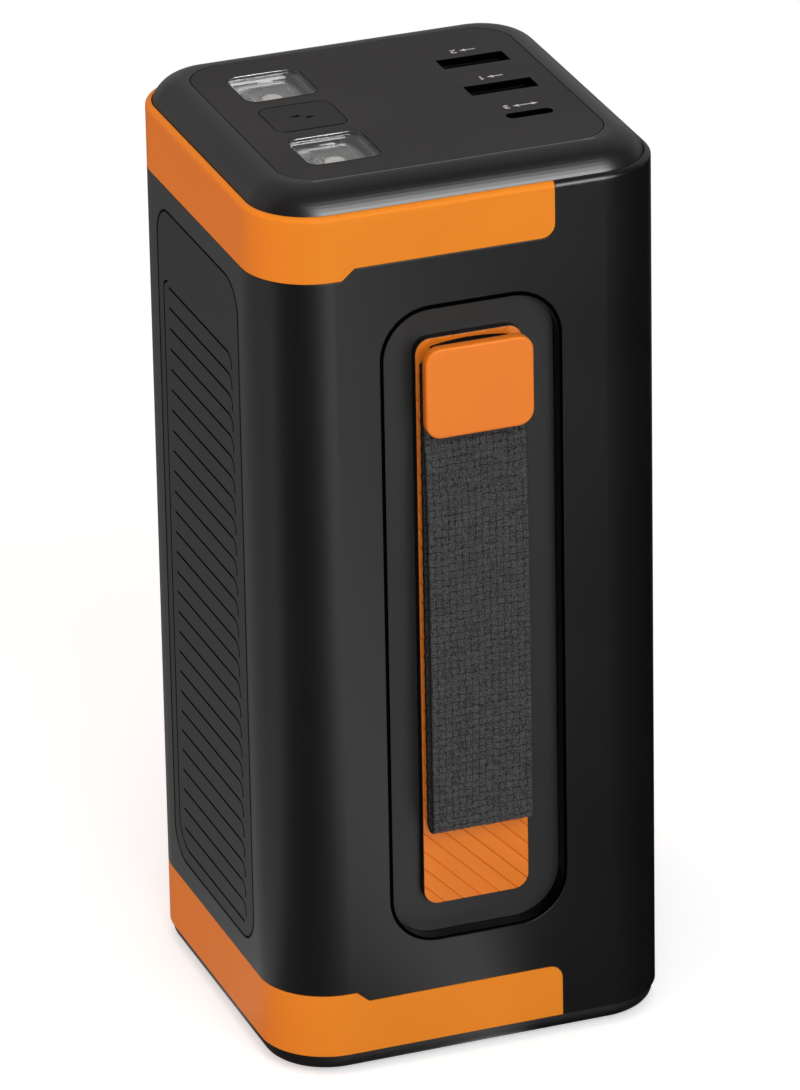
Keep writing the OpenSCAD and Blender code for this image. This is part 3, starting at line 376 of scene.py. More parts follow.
def closed_cell_foam():
    m = Material("closed_cell_foam", rgb(78, 78, 82), 0.9, Sheen_Weight=0.2)
    pore = m.cells(0.55)
    m.set(Base_Color=m.mix(m.ramp(pore, 0.0, 0.45), rgb(36, 36, 39), rgb(92, 92, 96)),
          Roughness=m.spread(m.noise(2.0), 0.82, 0.96),
          Normal=m.bump(m.ramp(pore, 0.0, 0.5), 0.08))
    return m


# torches

def clear_window():
    """Polished clear plastic that lets light through to what is under it."""
    m = Material("clear_window", rgb(248, 248, 248), 0.03, IOR=1.3, Transmission_Weight=1.0)
    m.set(Roughness=m.spread(m.noise(3.0, 3.0), 0.02, 0.05), Normal=m.bump(m.noise(2.5), 0.0006))
    through = m.add("ShaderNodeMixShader", {0: m.add("ShaderNodeLightPath").outputs["Is Shadow Ray"],
                                            1: m.shader.outputs[0],
                                            2: m.add("ShaderNodeBsdfTransparent").outputs[0]})
    m.put(m.tree.nodes["Material Output"].inputs["Surface"], through.outputs[0])
    return m


def metallised_bowl():
    """The mesh's tone goes from black plastic at 0 over satin metal at 0.5 to plain white at 1, which paints
    highlights.
    """
    m = Material("metallised_bowl", rgb(160, 162, 165), 0.3, Metallic=1.0)
    haze = m.noise(1.2, 4.0)
    tone = m.add("ShaderNodeAttribute", attribute_name="tone").outputs["Fac"]
    satin = m.shade(rgb(188, 187, 186), m.ramp(haze, 0.3, 0.7), 0.05)
    dull = m.mix(m.ramp(tone, 0.0, 0.5), rgb(34, 34, 34), satin)
    m.set(Base_Color=m.mix(m.ramp(tone, 0.5, 1.0), dull, rgb(246, 247, 248)),
          Roughness=m.spread(haze, 0.26, 0.34),
          Metallic=m.both(m.ramp(tone, 0.0, 0.1), m.ramp(tone, 1.0, 0.6)),
          Normal=m.bump(m.noise(0.6, 2.0), 0.0012))
    return m


def led_phosphor():
    m = Material("led_phosphor", rgb(240, 240, 234), 0.45)
    grit = m.noise(0.12, 4.0)
    m.set(Base_Color=m.mix(m.ramp(grit, 0.35, 0.65), rgb(232, 231, 224), rgb(246, 246, 242)),
          Roughness=m.spread(grit, 0.36, 0.55), Normal=m.bump(grit, 0.01))
    return m


def pale_ink():
    """Pad-printed ink, a little worn."""
    m = Material("pale_ink", rgb(196, 196, 196), 0.6)
    wear = m.noise(0.35, 4.0)
    m.set(Base_Color=m.mix(m.ramp(wear, 0.3, 0.62), rgb(150, 150, 150), rgb(214, 214, 214)),
          Roughness=m.spread(wear, 0.5, 0.7), Normal=m.bump(wear, 0.004))
    return m


# electrics

def solder_mask():
    """Green board with paler tracks and tinned pads."""
    m = Material("solder_mask", rgb(22, 74, 46), 0.35, Coat_Weight=0.25, Coat_Roughness=0.15)
    line = m.ramp(m.cells(2.6, "DISTANCE_TO_EDGE"), 0.035, 0.06)
    pads = m.cells(3.2)
    mask = m.shade(rgb(20, 68, 42), m.ramp(m.noise(5.0), 0.3, 0.7), 0.15)
    board = m.mix(line, rgb(38, 104, 66), mask)
    m.set(Base_Color=m.mix(m.ramp(pads, 0.11, 0.09), board, rgb(196, 190, 172)),
          Metallic=m.ramp(pads, 0.11, 0.09, 0.0, 0.8),
          Roughness=m.spread(m.noise(1.5), 0.28, 0.42),
          Normal=m.bump(line, -0.03, m.edges(0.1)[0]))
    return m


def wire_pvc():
    """Sleeves of the torches' wires: red to the right of their middle, black to its left."""
    m = Material("wire_pvc", rgb(176, 34, 26), 0.42)
    red = m.ramp(m.axes()[0], TORCH_X - 0.05, TORCH_X + 0.05)
    sleeve = m.mix(red, rgb(26, 26, 26), rgb(176, 34, 26))
    m.set(Base_Color=m.mix(m.ramp(m.noise(1.0), 0.3, 0.8, 0.0, 0.25), sleeve, rgb(60, 30, 28)),
          Roughness=m.spread(m.noise(0.6), 0.34, 0.5), Normal=m.bump(m.noise(0.3), 0.01))
    return m


def lead_silicone(name, color):
    m = Material(name, color, 0.55, Sheen_Weight=0.2, Sheen_Roughness=0.35)
    rings = m.noise(0.5, 3.0, (1, 1, 4))
    m.set(Base_Color=m.shade(color, m.ramp(m.noise(4.0, 3.0), 0.3, 0.7), 0.15),
          Roughness=m.spread(rings, 0.48, 0.64), Normal=m.bump(rings, 0.02))
    return m


def laminate_foil():
    """Creased aluminium laminate of the pouch cells."""
    m = Material("laminate_foil", rgb(196, 198, 202), 0.32, Metallic=0.9)
    dents = m.math("MULTIPLY", m.cells(7.0, "DISTANCE_TO_EDGE"), 0.25)
    crease = m.math("ADD", m.noise(9.0, 5.0, rough=0.6), dents)
    m.set(Base_Color=m.shade(rgb(190, 192, 196), m.ramp(m.noise(20.0, 3.0), 0.3, 0.7), 0.08),
          Roughness=m.spread(m.noise(1.5, 3.0), 0.25, 0.42),
          Normal=m.bump(crease, 0.35, m.edges(0.5)[0]))
    return m


def moulded_ferrite():
    m = Material("moulded_ferrite", rgb(62, 62, 66), 0.6)
    grit = m.cells(0.35)
    m.set(Base_Color=m.mix(m.ramp(grit, 0.1, 0.6), rgb(46, 46, 50), rgb(84, 84, 88)),
          Roughness=m.ramp(grit, 0.0, 0.6, 0.5, 0.7), Normal=m.bump(grit, 0.03, m.edges(0.2)[0]))
    return m


def sleeved_can():
    """Capacitor: a dark sleeve and a bare end."""
    m = Material("sleeved_can", rgb(38, 44, 66), 0.3, Coat_Weight=0.3, Coat_Roughness=0.2)
    end_y = reach("capacitors")[1] - 0.5
    end = m.ramp(m.axes()[1], end_y, end_y + 0.05)
    sleeve = m.shade(rgb(36, 42, 64), m.ramp(m.noise(4.0), 0.3, 0.7), 0.15)
    m.set(Base_Color=m.mix(end, sleeve, rgb(190, 192, 194)), Metallic=end,
          Roughness=m.spread(m.noise(1.2), 0.24, 0.38),
          Normal=m.bump(m.noise(1.6), 0.02, m.edges(0.4)[0]))
    return m


# strap

def charcoal_webbing():
    """Basket weave of three-yarn blocks. The blocks are in the mesh, and the yarns in the bump. The colour
    paints shade in the weave's hollows and on the selvedges.
    """
    m = Material("charcoal_webbing", rgb(62, 62, 63), 0.8, Sheen_Weight=0.06, Sheen_Roughness=0.45,
                 Specular_IOR_Level=0.15)
    u, v, high = m.axes(m.add("ShaderNodeAttribute", attribute_name="weave").outputs["Vector"])
    column, row = m.math("FLOOR", u), m.math("FLOOR", v)
    odd = m.math("MODULO", m.math("ADD", column, row), 2.0)
    across = m.add("ShaderNodeMix", {0: odd, 2: u, 3: v}).outputs[0]
    yarn = m.math("ABSOLUTE", m.math("SINE", m.math("MULTIPLY", across, 3 * math.pi)))
    fibre, tuft = m.noise(0.13, 1.0), m.noise(0.36, 1.0)
    block = m.add("ShaderNodeCombineXYZ", {0: column, 1: row}).outputs[0]
    chance = m.add("ShaderNodeTexWhiteNoise", {"Vector": block}).outputs["Value"]
    # painted shade: darker where the weave stands low and between the yarns, times random tone of blocks and
    # fibres
    gap = m.mix(m.ramp(m.noise(1.1, 1.0), 0.4, 0.6), (0.5, 0.5, 0.5, 1), (0.0, 0.0, 0.0, 1))
    crown = m.ramp(high, 0.08, 0.6)
    light = m.both(m.math("ADD", crown, m.both(gap, m.rest(crown))), m.ramp(yarn, 0.1, 0.8, 0.55, 1.0),
                   m.ramp(chance, 0.0, 1.0, 0.72, 1.0), m.spread(fibre, 0.4, 1.6), m.spread(tuft, 0.3, 1.8))
    # painted shade: the selvedges near black
    from_middle = m.math("ABSOLUTE", m.math("SUBTRACT", u, BLOCKS / 2))
    shaded_selvedge = m.ramp(from_middle, BLOCKS / 2 - 0.3, BLOCKS / 2 - 0.08)
    m.set(Base_Color=m.mix(shaded_selvedge, m.mix(light, rgb(11, 11, 11), rgb(77, 77, 78)), rgb(3, 3, 3)),
          Roughness=m.spread(fibre, 0.7, 0.9),
          Normal=m.bump(m.math("ADD", yarn, m.math("MULTIPLY", fibre, 0.6)), 0.07))
    return m


finishes = {
    "body_plastic": body_satin(),
    "grip_plastic": grip_satin(),
    "cap_gloss": cap_gloss(),
    "panel_plastic": panel_matt(),
    "button_plastic": button_matt(),
    "base_plastic": plastic("base_black", rgb(20, 20, 20), 0.4, 0.4, 0.004),
    "trim_orange": plastic("trim_orange", rgb(232, 135, 36), 0.4, 0.3, 0.002, 0.025, 0.1, 0.06,
                           Specular_IOR_Level=0.14),
    "pad_orange": pad_orange(),
    "inner_plastic": plastic("inner_black", rgb(30, 30, 32), 0.5, 0.5, 0.008),
    "port_plastic": plastic("port_black", rgb(12, 12, 12), 0.5, 0.3, 0.004),
    "socket_plastic": plastic("socket_blue", rgb(30, 62, 120), 0.42, 0.4, 0.005),
    "tray_plastic": well_satin(),
    "soft_rubber": matt_rubber(),
    "foam": closed_cell_foam(),
    "clear_lens": clear_window(),
    "reflector": metallised_bowl(),
    "led_emitter": led_phosphor(),
    "ink": pale_ink(),                       # of the port marks
    "circuit_board": solder_mask(),
    "wire_sleeve": wire_pvc(),
    "lead_red": lead_silicone("lead_silicone_red", rgb(178, 28, 24)),
    "lead_black": lead_silicone("lead_silicone_black", rgb(24, 24, 24)),
    "cell_foil": laminate_foil(),
    "ferrite": moulded_ferrite(),
    "capacitor_can": sleeved_can(),
    "screw_steel": metal("zinc_screw", rgb(168, 170, 174), 0.32),
    "plate_steel": metal("zinc_plate", rgb(184, 186, 190), 0.34, (8, 1, 1)),
    "port_steel": metal("black_nickel_shell", rgb(46, 46, 48), 0.4, (1, 1, 6)),
    "copper_bar": metal("rolled_copper", rgb(202, 122, 84), 0.34, (1, 6, 1)),
    "contact_brass": metal("plated_brass", rgb(214, 176, 98), 0.26, (1, 6, 1)),
    "webbing": charcoal_webbing(),
}
materials = {slot: m.mat for slot, m in finishes.items()}
for name, ob in nodes.items():
    ob.data.materials.clear()
    ob.data.materials.append(materials[slots[name]])


# ---------------------------------------------------------------- pieces

def smooth(mesh):
    """Smooth shading that leaves edges over 40 degrees sharp."""
    mesh.shade_smooth()
    mesh.set_sharp_from_angle(angle=math.radians(40))


def placed(name, mesh):
    """A new object of the scene."""
    ob = bpy.data.objects.new(name, mesh)
    bpy.context.scene.collection.objects.link(ob)
    return ob


def solid(name, verts, faces, tone=None):
    """A new smooth mesh in millimetres of the part's frame."""
    mesh = bpy.data.meshes.new(name)
    mesh.from_pydata([tuple(c * MM for c in v) for v in verts], [], faces)
    if tone is not None:
        mesh.attributes.new("tone", "FLOAT", "POINT").data.foreach_set("value", tone)
    shape = bmesh.new()
    shape.from_mesh(mesh)
    bmesh.ops.recalc_face_normals(shape, faces=shape.faces)
    shape.to_mesh(mesh)
    shape.free()
    smooth(mesh)
    return placed(name, mesh)


def piece(name, verts, faces, slot, body="housing", material=None, tone=None):
    """A solid that rides on a body and has the finish of a slot."""
    ob = solid(name, verts, faces, tone)
    ob.data.materials.append(materials[material or slot])
    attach(ob, body)
    return ob


QUARTER = 17                                 # points in each rounded corner of an outline


def rounded(half_w, half_d, r, n=QUARTER):
    """Outline of a rounded rectangle, counter-clockwise from its right side, n points in each corner."""
    turn = np.linspace(0, math.pi / 2, n)
    return np.concatenate([np.stack([sx * (half_w - r) + r * np.cos(a0 + turn),
                                     sy * (half_d - r) + r * np.sin(a0 + turn)], 1)
                           for sx, sy, a0 in ((1, 1, 0), (-1, 1, math.pi / 2), (-1, -1, math.pi),
                                              (1, -1, 3 * math.pi / 2))])


def circle(r):
    """Outline of a circle with as many points as a rounded rectangle, a pair of them at each quarter."""
    return rounded(1, 1, 0.999) * r


def lofted(loops, closed=False):
    """Verts and faces through loops of (n, 3) points. The ends are filled unless the loft is closed."""
    n, k = len(loops[0]), len(loops)
    faces = [(a * n + i, a * n + (i + 1) % n, (a + 1) % k * n + (i + 1) % n, (a + 1) % k * n + i)
             for a in range(k if closed else k - 1) for i in range(n)]
    if not closed:
        faces += [tuple(range(n))[::-1], tuple(range((k - 1) * n, k * n))]
    return np.concatenate(loops).tolist(), faces


def joined(shapes):
    """Verts and faces of several shapes as one."""
    verts, faces = [], []
    for more, more_faces in shapes:
        faces += [tuple(i + len(verts) for i in f) for f in more_faces]
        verts += more
    return verts, faces


def at_z(outline, z, centre=(0, 0)):
    """An outline laid flat at this height."""
    return np.column_stack([outline + centre, np.full(len(outline), z)])


def at_y(outline, y, centre=(0, 0)):
    """An outline stood up, facing along Y, with centre its X and Z."""
    return np.column_stack([outline[:, 0] + centre[0], np.full(len(outline), y), outline[:, 1] + centre[1]])


# torches: a clear window, a metallised bowl with a ledge at its back, and a white emitter
LENS_R = 2.45
LENS_Z0 = TOP - 2 * lens_half[2]             # its edge: how far inside the outline, and its height
LENS_EDGE = ((0.5, LENS_Z0), (0.16, LENS_Z0), (0.05, LENS_Z0 + 0.05), (0.0, LENS_Z0 + 0.18),
             (0.0, TOP - 0.24), (0.04, TOP - 0.12), (0.13, TOP - 0.03), (0.24, TOP), (0.4, TOP))
# from here on, heights over the torch's board: first a radius and a height for each ring
BOWL = ((2.06, 0.1), (2.06, 0.4), (2.16, 0.47), (2.6, 0.52), (3.1, 0.62), (3.6, 0.76), (4.1, 0.95),
        (4.5, 1.14), (4.75, 1.28), (4.84, 1.34), (4.9, 1.42), (5.0, 1.43), (5.06, 1.36), (5.2, 1.36),
        (5.27, 1.44), (5.4, 1.46))
EMITTER = ((1.96, 0.12), (1.96, 0.6), (1.9, 0.7), (1.7, 0.8), (1.3, 0.88), (0.7, 0.93), (0.15, 0.94))
RING = (4.0, 4.8, 5.0)                       # radii at which the bowl's painted bright ring starts, peaks and ends
RIM_Z, LEDGE_TOP = 1.4, 2.58
BACK_Y, LEDGE_Y = 6.78, 6.6                  # the bowl's back edge and the ledge's root
RIM, RIM_OFF = (6.4, BACK_Y, 2.35), (0.65, 0)
TAB, TAB_T = ((-0.4, 5.95), (2.2, 5.6), (2.0, 6.25), (-0.7, 6.15)), 0.16
GUARD, GUARD_H = (7.08, 6.8, 2.42), 2.5      # dark frame under the window's right edge


def make_bowl(centre, rim):
    """The bowl out to its rounded square rim, with a painted glint at the ring's left and a painted bright
    ring, and darker near the rim.
    """
    away = rim / np.linalg.norm(rim, axis=1)[:, None]
    hole, (brink, brink_z) = away * BOWL[0][0], BOWL[-1]
    outlines = [(away * r, z) for r, z in BOWL]
    outlines += [(away * brink * (1 - t) + rim * t, brink_z) for t in (0.35, 0.7, 0.97)]
    outlines += [(rim, RIM_Z), (rim, 0.0), (hole, 0.0)]
    loops = [at_z(outline, TORCH_Z + z, centre) for outline, z in outlines]
    angle = np.degrees(np.arctan2(away[:, 1], away[:, 0])) % 360
    # painted highlights in the tone: a glint at the ring's left, and the bright ring
    glint = np.exp(-((angle - 212) / 20) ** 2).tolist()
    start, peak, end = RING
    tone = [0.5 + (0.14 if peak < r < end else 0) + (0.3 * g if start < r < end else 0)
            for r, _ in BOWL for g in glint]
    tone += [row_tone for row_tone in (0.45, 0.3, 0.15, 0.1, 0.1, 0.1) for _ in rim]
    return lofted(loops, closed=True), tone


def make_ledge(centre, z0, z1, out):
    """A plate on the back wall with a white bar along it, a painted highlight. The last of each row is the
    tone.
    """
    tip = LEDGE_Y - out
    # the tones of 1.0 make the bar white: a painted highlight
    profile = ((BACK_Y, LEDGE_TOP, 0.3), (LEDGE_Y, LEDGE_TOP, 0.3), (LEDGE_Y, z1 + 0.03, 0.2),
               (LEDGE_Y - out * 0.6, z1, 1.0), (tip, z1 - 0.06, 1.0), (tip, z0 + 0.05, 1.0),
               (LEDGE_Y - out * 0.7, z0, 0.8), (BACK_Y, z0, 0.3))
    stations = [(-6.2, 0.2), (-6.05, 0.0)]                # place along X, and how far the plate is set back
    stations += [(x, 0.0) for x in np.linspace(-5.8, 5.2, 15)] + [(5.5, 0.0), (5.7, 0.2)]
    loops = [np.array([(centre[0] + x, centre[1] + y + (cut if y < LEDGE_Y else 0), TORCH_Z + z)
                       for y, z, _ in profile]) for x, cut in stations]
    return lofted(loops), [row_tone for _ in stations for _, _, row_tone in profile]


def make_torch(side, y, ledge_z0, ledge_z1, ledge_out):
    """A window, and under it a bowl, its ledge, a white tab between them that paints a highlight, and the
    dark frame.
    """
    centre = (TORCH_X, y)
    loops = [at_z(rounded(lens_half[0] - i, lens_half[1] - i, LENS_R - i), z, centre) for i, z in LENS_EDGE]
    ob = piece(f"torch_window_{side}", *lofted(loops), "clear_lens")
    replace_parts(ob, f"torch_lens_{side}")

    rim, outer = rounded(*RIM) - RIM_OFF, rounded(*GUARD)
    tab = lofted([at_z(np.array(TAB), TORCH_Z + z, centre) for z in (RIM_Z, RIM_Z + TAB_T)])
    right = np.concatenate([outer[-QUARTER:], outer[:QUARTER], rim[:QUARTER][::-1], rim[-QUARTER:][::-1]])
    guard = lofted([at_z(right, TORCH_Z + z, centre) for z in (0.0, GUARD_H)])
    bowl, bowl_tone = make_bowl(centre, rim)
    ledge, ledge_tone = make_ledge(centre, ledge_z0, ledge_z1, ledge_out)
    # the tab's tone of 1.0 makes it white: a painted highlight
    tone = bowl_tone + ledge_tone + [1.0] * len(tab[0]) + [0.0] * len(guard[0])
    ob = piece(f"torch_bowl_{side}", *joined((bowl, ledge, tab, guard)), "reflector", tone=tone)
    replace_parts(ob, f"torch_reflector_{side}")


make_torch("rear", TORCH_Y, ledge_z0=1.5, ledge_z1=2.0, ledge_out=0.3)
make_torch("front", -TORCH_Y, ledge_z0=1.98, ledge_z1=2.14, ledge_out=0.12)
emitters = joined(lofted([at_z(circle(r), TORCH_Z + z, (TORCH_X, y)) for r, z in EMITTER])
                  for y in (TORCH_Y, -TORCH_Y))
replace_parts(piece("torch_emitters", *emitters, "led_emitter"), "torch_leds")


# port marks: an arrow and a number beyond each port, to be read from behind
ARROW = ((0, -0.16), (1.9, -0.16), (1.9, -0.6), (3.1, 0), (1.9, 0.6), (1.9, 0.16), (0, 0.16))
TWO_WAY = ((0, 0), (1.2, -0.6), (1.2, -0.16), (3.7, -0.16), (3.7, -0.6), (4.9, 0), (3.7, 0.6), (3.7, 0.16),
           (1.2, 0.16), (1.2, 0.6))
DIGITS = {1: ((0.15, 0.45), (0.5, 0.75), (0.5, -0.75)),
          2: ((0.0, 0.4), (0.12, 0.62), (0.45, 0.72), (0.8, 0.6), (0.9, 0.35), (0.78, 0.08), (0.05, -0.66),
              (1.0, -0.66)),
          3: ((0.02, 0.55), (0.4, 0.72), (0.8, 0.55), (0.82, 0.22), (0.45, 0.02), (0.85, -0.18),
              (0.88, -0.52), (0.45, -0.74), (0.0, -0.55))}
MARKS = ((5.3, ARROW, 2), (5.3, ARROW, 1), (4.3, TWO_WAY, 3))                   # distance beyond its port
MARK_GAP, DIGIT_W = 0.7, 1.0
STROKE, INK_SUNK, INK_PROUD = 0.3, 0.1, 0.015


def ribbon(points, width):
    """Outline of a stroke with mitred corners."""
    p = np.array(points, float)
    step = np.diff(p, axis=0)
    step /= np.linalg.norm(step, axis=1)[:, None]
    side = np.column_stack([-step[:, 1], step[:, 0]])
    side = np.concatenate([side[:1], side[:-1] + side[1:], side[-1:]])
    side /= (np.linalg.norm(side, axis=1) ** 2)[:, None]
    side[1:-1] *= 2
    return np.concatenate([p + side * width / 2, (p - side * width / 2)[::-1]])


def make_marks():
    shapes = []
    for port, (beyond, arrow, digit) in zip(PORTS, MARKS):
        half_w = (max(x for x, _ in arrow) + MARK_GAP + DIGIT_W) / 2
        number = ribbon(DIGITS[digit], STROKE) + (half_w - DIGIT_W, 0)
        for glyph in (np.array(arrow, float) - (half_w, 0), number):
            turned = port + (0, beyond) - glyph
            shapes.append(lofted([at_z(turned, TOP - INK_SUNK), at_z(turned, TOP + INK_PROUD)]))
    piece("port_marks", *joined(shapes), "panel_plastic", material="ink")


make_marks()


# contacts on the tongues of the ports: sprung strips with a raised bow near the mouth
TONGUE = 0.35                                # from a port's middle to its tongue's faces
USB_A_STRIP = dict(width=1.0, z0=TOP - 12.0, z1=TOP - 3.3, out=-1, bow=0.22)
USB_C_STRIP = dict(width=0.26, z0=TOP - 6.4, z1=TOP - 3.1, bow=0.03)


def strip(x, y, width, z0, z1, out, bow):
    """A strip from z0 to z1 on a face that looks along out, 1 or -1, with its bow before its upper end."""
    loops = []
    for t in np.linspace(0, 1, 13):
        lift = 0.04 + bow * math.exp(-((t - 0.8) / 0.1) ** 2) - 0.03 * (t > 0.99)
        z = z0 + (z1 - z0) * t
        loops.append(np.array([(x + side * width / 2, y + rise * out, z)
                               for side, rise in ((-1, -0.02), (1, -0.02), (1, lift), (-1, lift))]))
    return lofted(loops)


def make_contacts():
    *usb_a, (c_x, c_y) = PORTS
    strips = [strip(x + dx, y + TONGUE, **USB_A_STRIP)
              for x, y in usb_a for dx in (-3.5, -1.15, 1.15, 3.5)]
    strips += [strip(c_x + dx, c_y + TONGUE * out, out=out, **USB_C_STRIP)
               for out in (-1, 1) for dx in np.linspace(-2.75, 2.75, 12)]
    piece("port_contacts", *joined(strips), "contact_brass")


make_contacts()


# strap pad: an orange skin with fine V grooves, which lean the other way beside the cap
PAD_R = 3
PAD_Z0, PAD_Z1 = MID_Z - pad_half[2], MID_Z + pad_half[2]
PAD_EDGE = ((0.0, FLOOR_Y), (0.0, PAD_Y + 0.11), (0.04, PAD_Y + 0.03), (0.12, PAD_Y))   # inset, place in Y
GROOVE_PITCH = 2.57 * math.sqrt(2)           # up the pad. The grooves lean at 45 degrees
GROOVE_W, GROOVE_DEPTH = 0.13, 0.2           # half width
SLOT_W, SLOT_R, SLOT_Z0, SLOT_Z1 = 7.5, 40, 141.5, 143.9                        # half width, its arch
POST_HOLE_R, THROUGH = 2.0, (-37.0, -33.0)


def split(shape, place, normal, low, high):
    """Adds edges where this plane meets the faces between two heights."""
    inside = [f for f in shape.faces if low - 1e-4 < min(v.co.z for v in f.verts)
              and max(v.co.z for v in f.verts) < high + 1e-4]
    ring = {e for f in inside for e in f.edges} | {v for f in inside for v in f.verts}
    bmesh.ops.bisect_plane(shape, geom=inside + list(ring), dist=1e-5, plane_co=place, plane_no=normal)


def cut_grooves(shape):
    """Sinks the middle line of each groove into the pad's face, between an edge on both sides."""
    split(shape, (0, 0, CAP_Z), (0, 0, 1), 0, TOP)
    rise = pad_half[0] + 0.6                 # of a groove, from the pad's middle line to its side
    for low, high, lean in ((PAD_Z0, CAP_Z, 1), (CAP_Z, PAD_Z1, -1)):
        normal = Vector((lean, 0, 1)).normalized()
        for k in range(-6, 36):
            middle = Vector((0, 0, low + 1 + k * GROOVE_PITCH))
            if not low - rise < middle.z < high + rise:
                continue
            for side in (-GROOVE_W, 0, GROOVE_W):
                split(shape, middle + normal * side, normal, low, high)
            for v in shape.verts:
                on_line = abs((v.co - middle).dot(normal)) < 1e-3 and low < v.co.z + 1e-4 < high + 2e-4
                if on_line and v.co.y < PAD_EDGE[1][1] + 0.04:
                    v.co.y += GROOVE_DEPTH


def pad_holes():
    """A tool for the arched slot above the cap and the holes for the cap's posts."""
    arch = [(x, SLOT_Z1 - SLOT_R + math.sqrt(SLOT_R ** 2 - x * x)) for x in np.linspace(SLOT_W, -SLOT_W, 25)]
    bore = rounded(POST_HOLE_R, POST_HOLE_R, POST_HOLE_R - 0.001, 9)
    holes = [np.array(arch + [(-SLOT_W, SLOT_Z0), (SLOT_W, SLOT_Z0)])]
    holes += [bore + (x, CAP_Z) for x in (-POST_X, POST_X)]
    return solid("pad_holes", *joined(lofted([at_y(hole, y) for y in THROUGH]) for hole in holes))


def make_pad():
    verts, faces = lofted([at_y(rounded(pad_half[0] - i, pad_half[2] - i, PAD_R - i, 13), y, (0, MID_Z))
                           for i, y in PAD_EDGE])
    shape = bmesh.new()
    for v in verts:
        shape.verts.new(v)
    shape.verts.ensure_lookup_table()
    for f in faces:
        shape.faces.new([shape.verts[i] for i in f])
    cut_grooves(shape)
    shape.verts.index_update()
    ob = piece("strap_pad_ridged", [tuple(v.co) for v in shape.verts],
               [tuple(v.index for v in f.verts) for f in shape.faces], "pad_orange")
    shape.free()

    tool = pad_holes()
    cutter = ob.modifiers.new("holes", "BOOLEAN")
    cutter.object, cutter.solver = tool, "EXACT"
    bpy.context.view_layer.update()
    mesh = bpy.data.meshes.new_from_object(ob.evaluated_get(bpy.context.evaluated_depsgraph_get()))
    ob.modifiers.clear()
    ob.data = mesh
    smooth(mesh)
    bpy.data.objects.remove(tool)
    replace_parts(ob, "strap_pad")


make_pad()


# strap cap: a plate with crisp edges, on two hollow posts that reach through the pad and tray
CAP_BACK, CAP_R, CAP_EDGE = -39.35, 3, 0.45  # the plate's back, corners and rounded front edge
POST = ((1.9, -39.4), (1.9, -32.75), (1.7, -32.55), (0.8, -32.55), (0.8, -38.0))   # radius and place along Y


def make_cap():
    edge = [(0.5, CAP_BACK), (0.15, CAP_BACK - 0.15), (0.0, CAP_BACK - 0.45), (0.0, CAP_Y + CAP_EDGE)]
    edge += [(CAP_EDGE * (1 - math.cos(a)), CAP_Y + CAP_EDGE * (1 - math.sin(a)))
             for a in np.radians([15, 30, 45, 60, 75, 90])]
    edge += [(0.7, CAP_Y)]
    half_w, _, half_h = cap_half
    plate = lofted([at_y(rounded(half_w - i, half_h - i, CAP_R - i), y, (0, CAP_Z)) for i, y in edge])
    posts = [lofted([at_y(circle(r), y, (x, CAP_Z)) for r, y in POST]) for x in (-POST_X, POST_X)]
    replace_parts(piece("strap_cap_plate", *joined([plate, *posts]), slots["strap_cap"]), "strap_cap")


make_cap()


# strap: an endless band of webbing, two plies that part towards the fold
STRAP_X, STRAP_W, CORE = -0.25, 19.8, 0.33   # middle, width, half thickness of a ply under the weave
BLOCK_W, BLOCK_H = STRAP_W / BLOCKS, 1.38    # blocks of the basket weave
CROWN, STEP = 0.18, 10                       # height of a block, mesh steps in a block
TOP_Z, HINGE_Z, CREASE_Z, FOLD_Z = 140.5, 126.0, 125.7, 49.2
CREASE_W, PARTING = 0.3, 11                  # height of the crease, and in which the plies part
FRONT_TOP, FRONT_FOLD, BACK_PLY = -38.75, -40.35, -37.75
SELVEDGE, FLAT_W = 0.42, STRAP_W - 0.9       # how far the rounded edges stand out, and what is between them


def strap_path():
    """Middle line of the webbing in the YZ plane, evenly spaced and closed, front ply first."""
    pts = []
    for z in np.linspace(TOP_Z, FOLD_Z, 400):
        t = 1 - math.exp(-max(0.0, HINGE_Z + 1 - z) / PARTING)
        pts.append((FRONT_TOP + (FRONT_FOLD - FRONT_TOP) * t, z))
    r = (BACK_PLY - FRONT_FOLD) / 2
    for a in np.linspace(math.pi, 2 * math.pi, 60)[1:]:
        pts.append((FRONT_FOLD + r + r * math.cos(a), FOLD_Z + r * math.sin(a)))
    for z in np.linspace(FOLD_Z, TOP_Z, 400)[1:]:
        pts.append((BACK_PLY, z))
    r = (BACK_PLY - FRONT_TOP) / 2
    for a in np.linspace(0, math.pi, 30)[1:-1]:
        pts.append((BACK_PLY - r + r * math.cos(a), TOP_Z + r * math.sin(a)))
    pts = np.array(pts + pts[:1])
    run = np.concatenate([[0], np.cumsum(np.linalg.norm(np.diff(pts, axis=0), axis=1))])
    blocks = 2 * round(run[-1] / BLOCK_H / 2)
    s = np.linspace(0, run[-1], blocks * STEP + 1)[:-1]
    return np.stack([np.interp(s, run, pts[:, 0]), np.interp(s, run, pts[:, 1])], 1), blocks


def strap_section():
    """X and height of the outer face, a rounded selvedge, the inner face and the other selvedge, and which
    points are on the outer face."""
    outer = np.linspace(-0.5, 0.5, BLOCKS * STEP + 1) * FLAT_W
    inner = np.linspace(0.5, -0.5, 31) * FLAT_W
    turn = np.radians([60, 30, 0, -30, -60])
    bulge = FLAT_W / 2 + SELVEDGE * np.cos(turn)
    x = np.concatenate([outer, bulge, inner, -bulge])
    off = np.concatenate([np.full(len(outer), CORE), CORE * np.sin(turn), np.full(len(inner), -CORE),
                          CORE * np.sin(-turn)])
    return x, off, np.arange(len(x)) < len(outer)


def smoothed(noise, window, count):
    """The first points of slow waves that are made of noise."""
    return np.convolve(noise, np.hanning(window), "same")[:count]


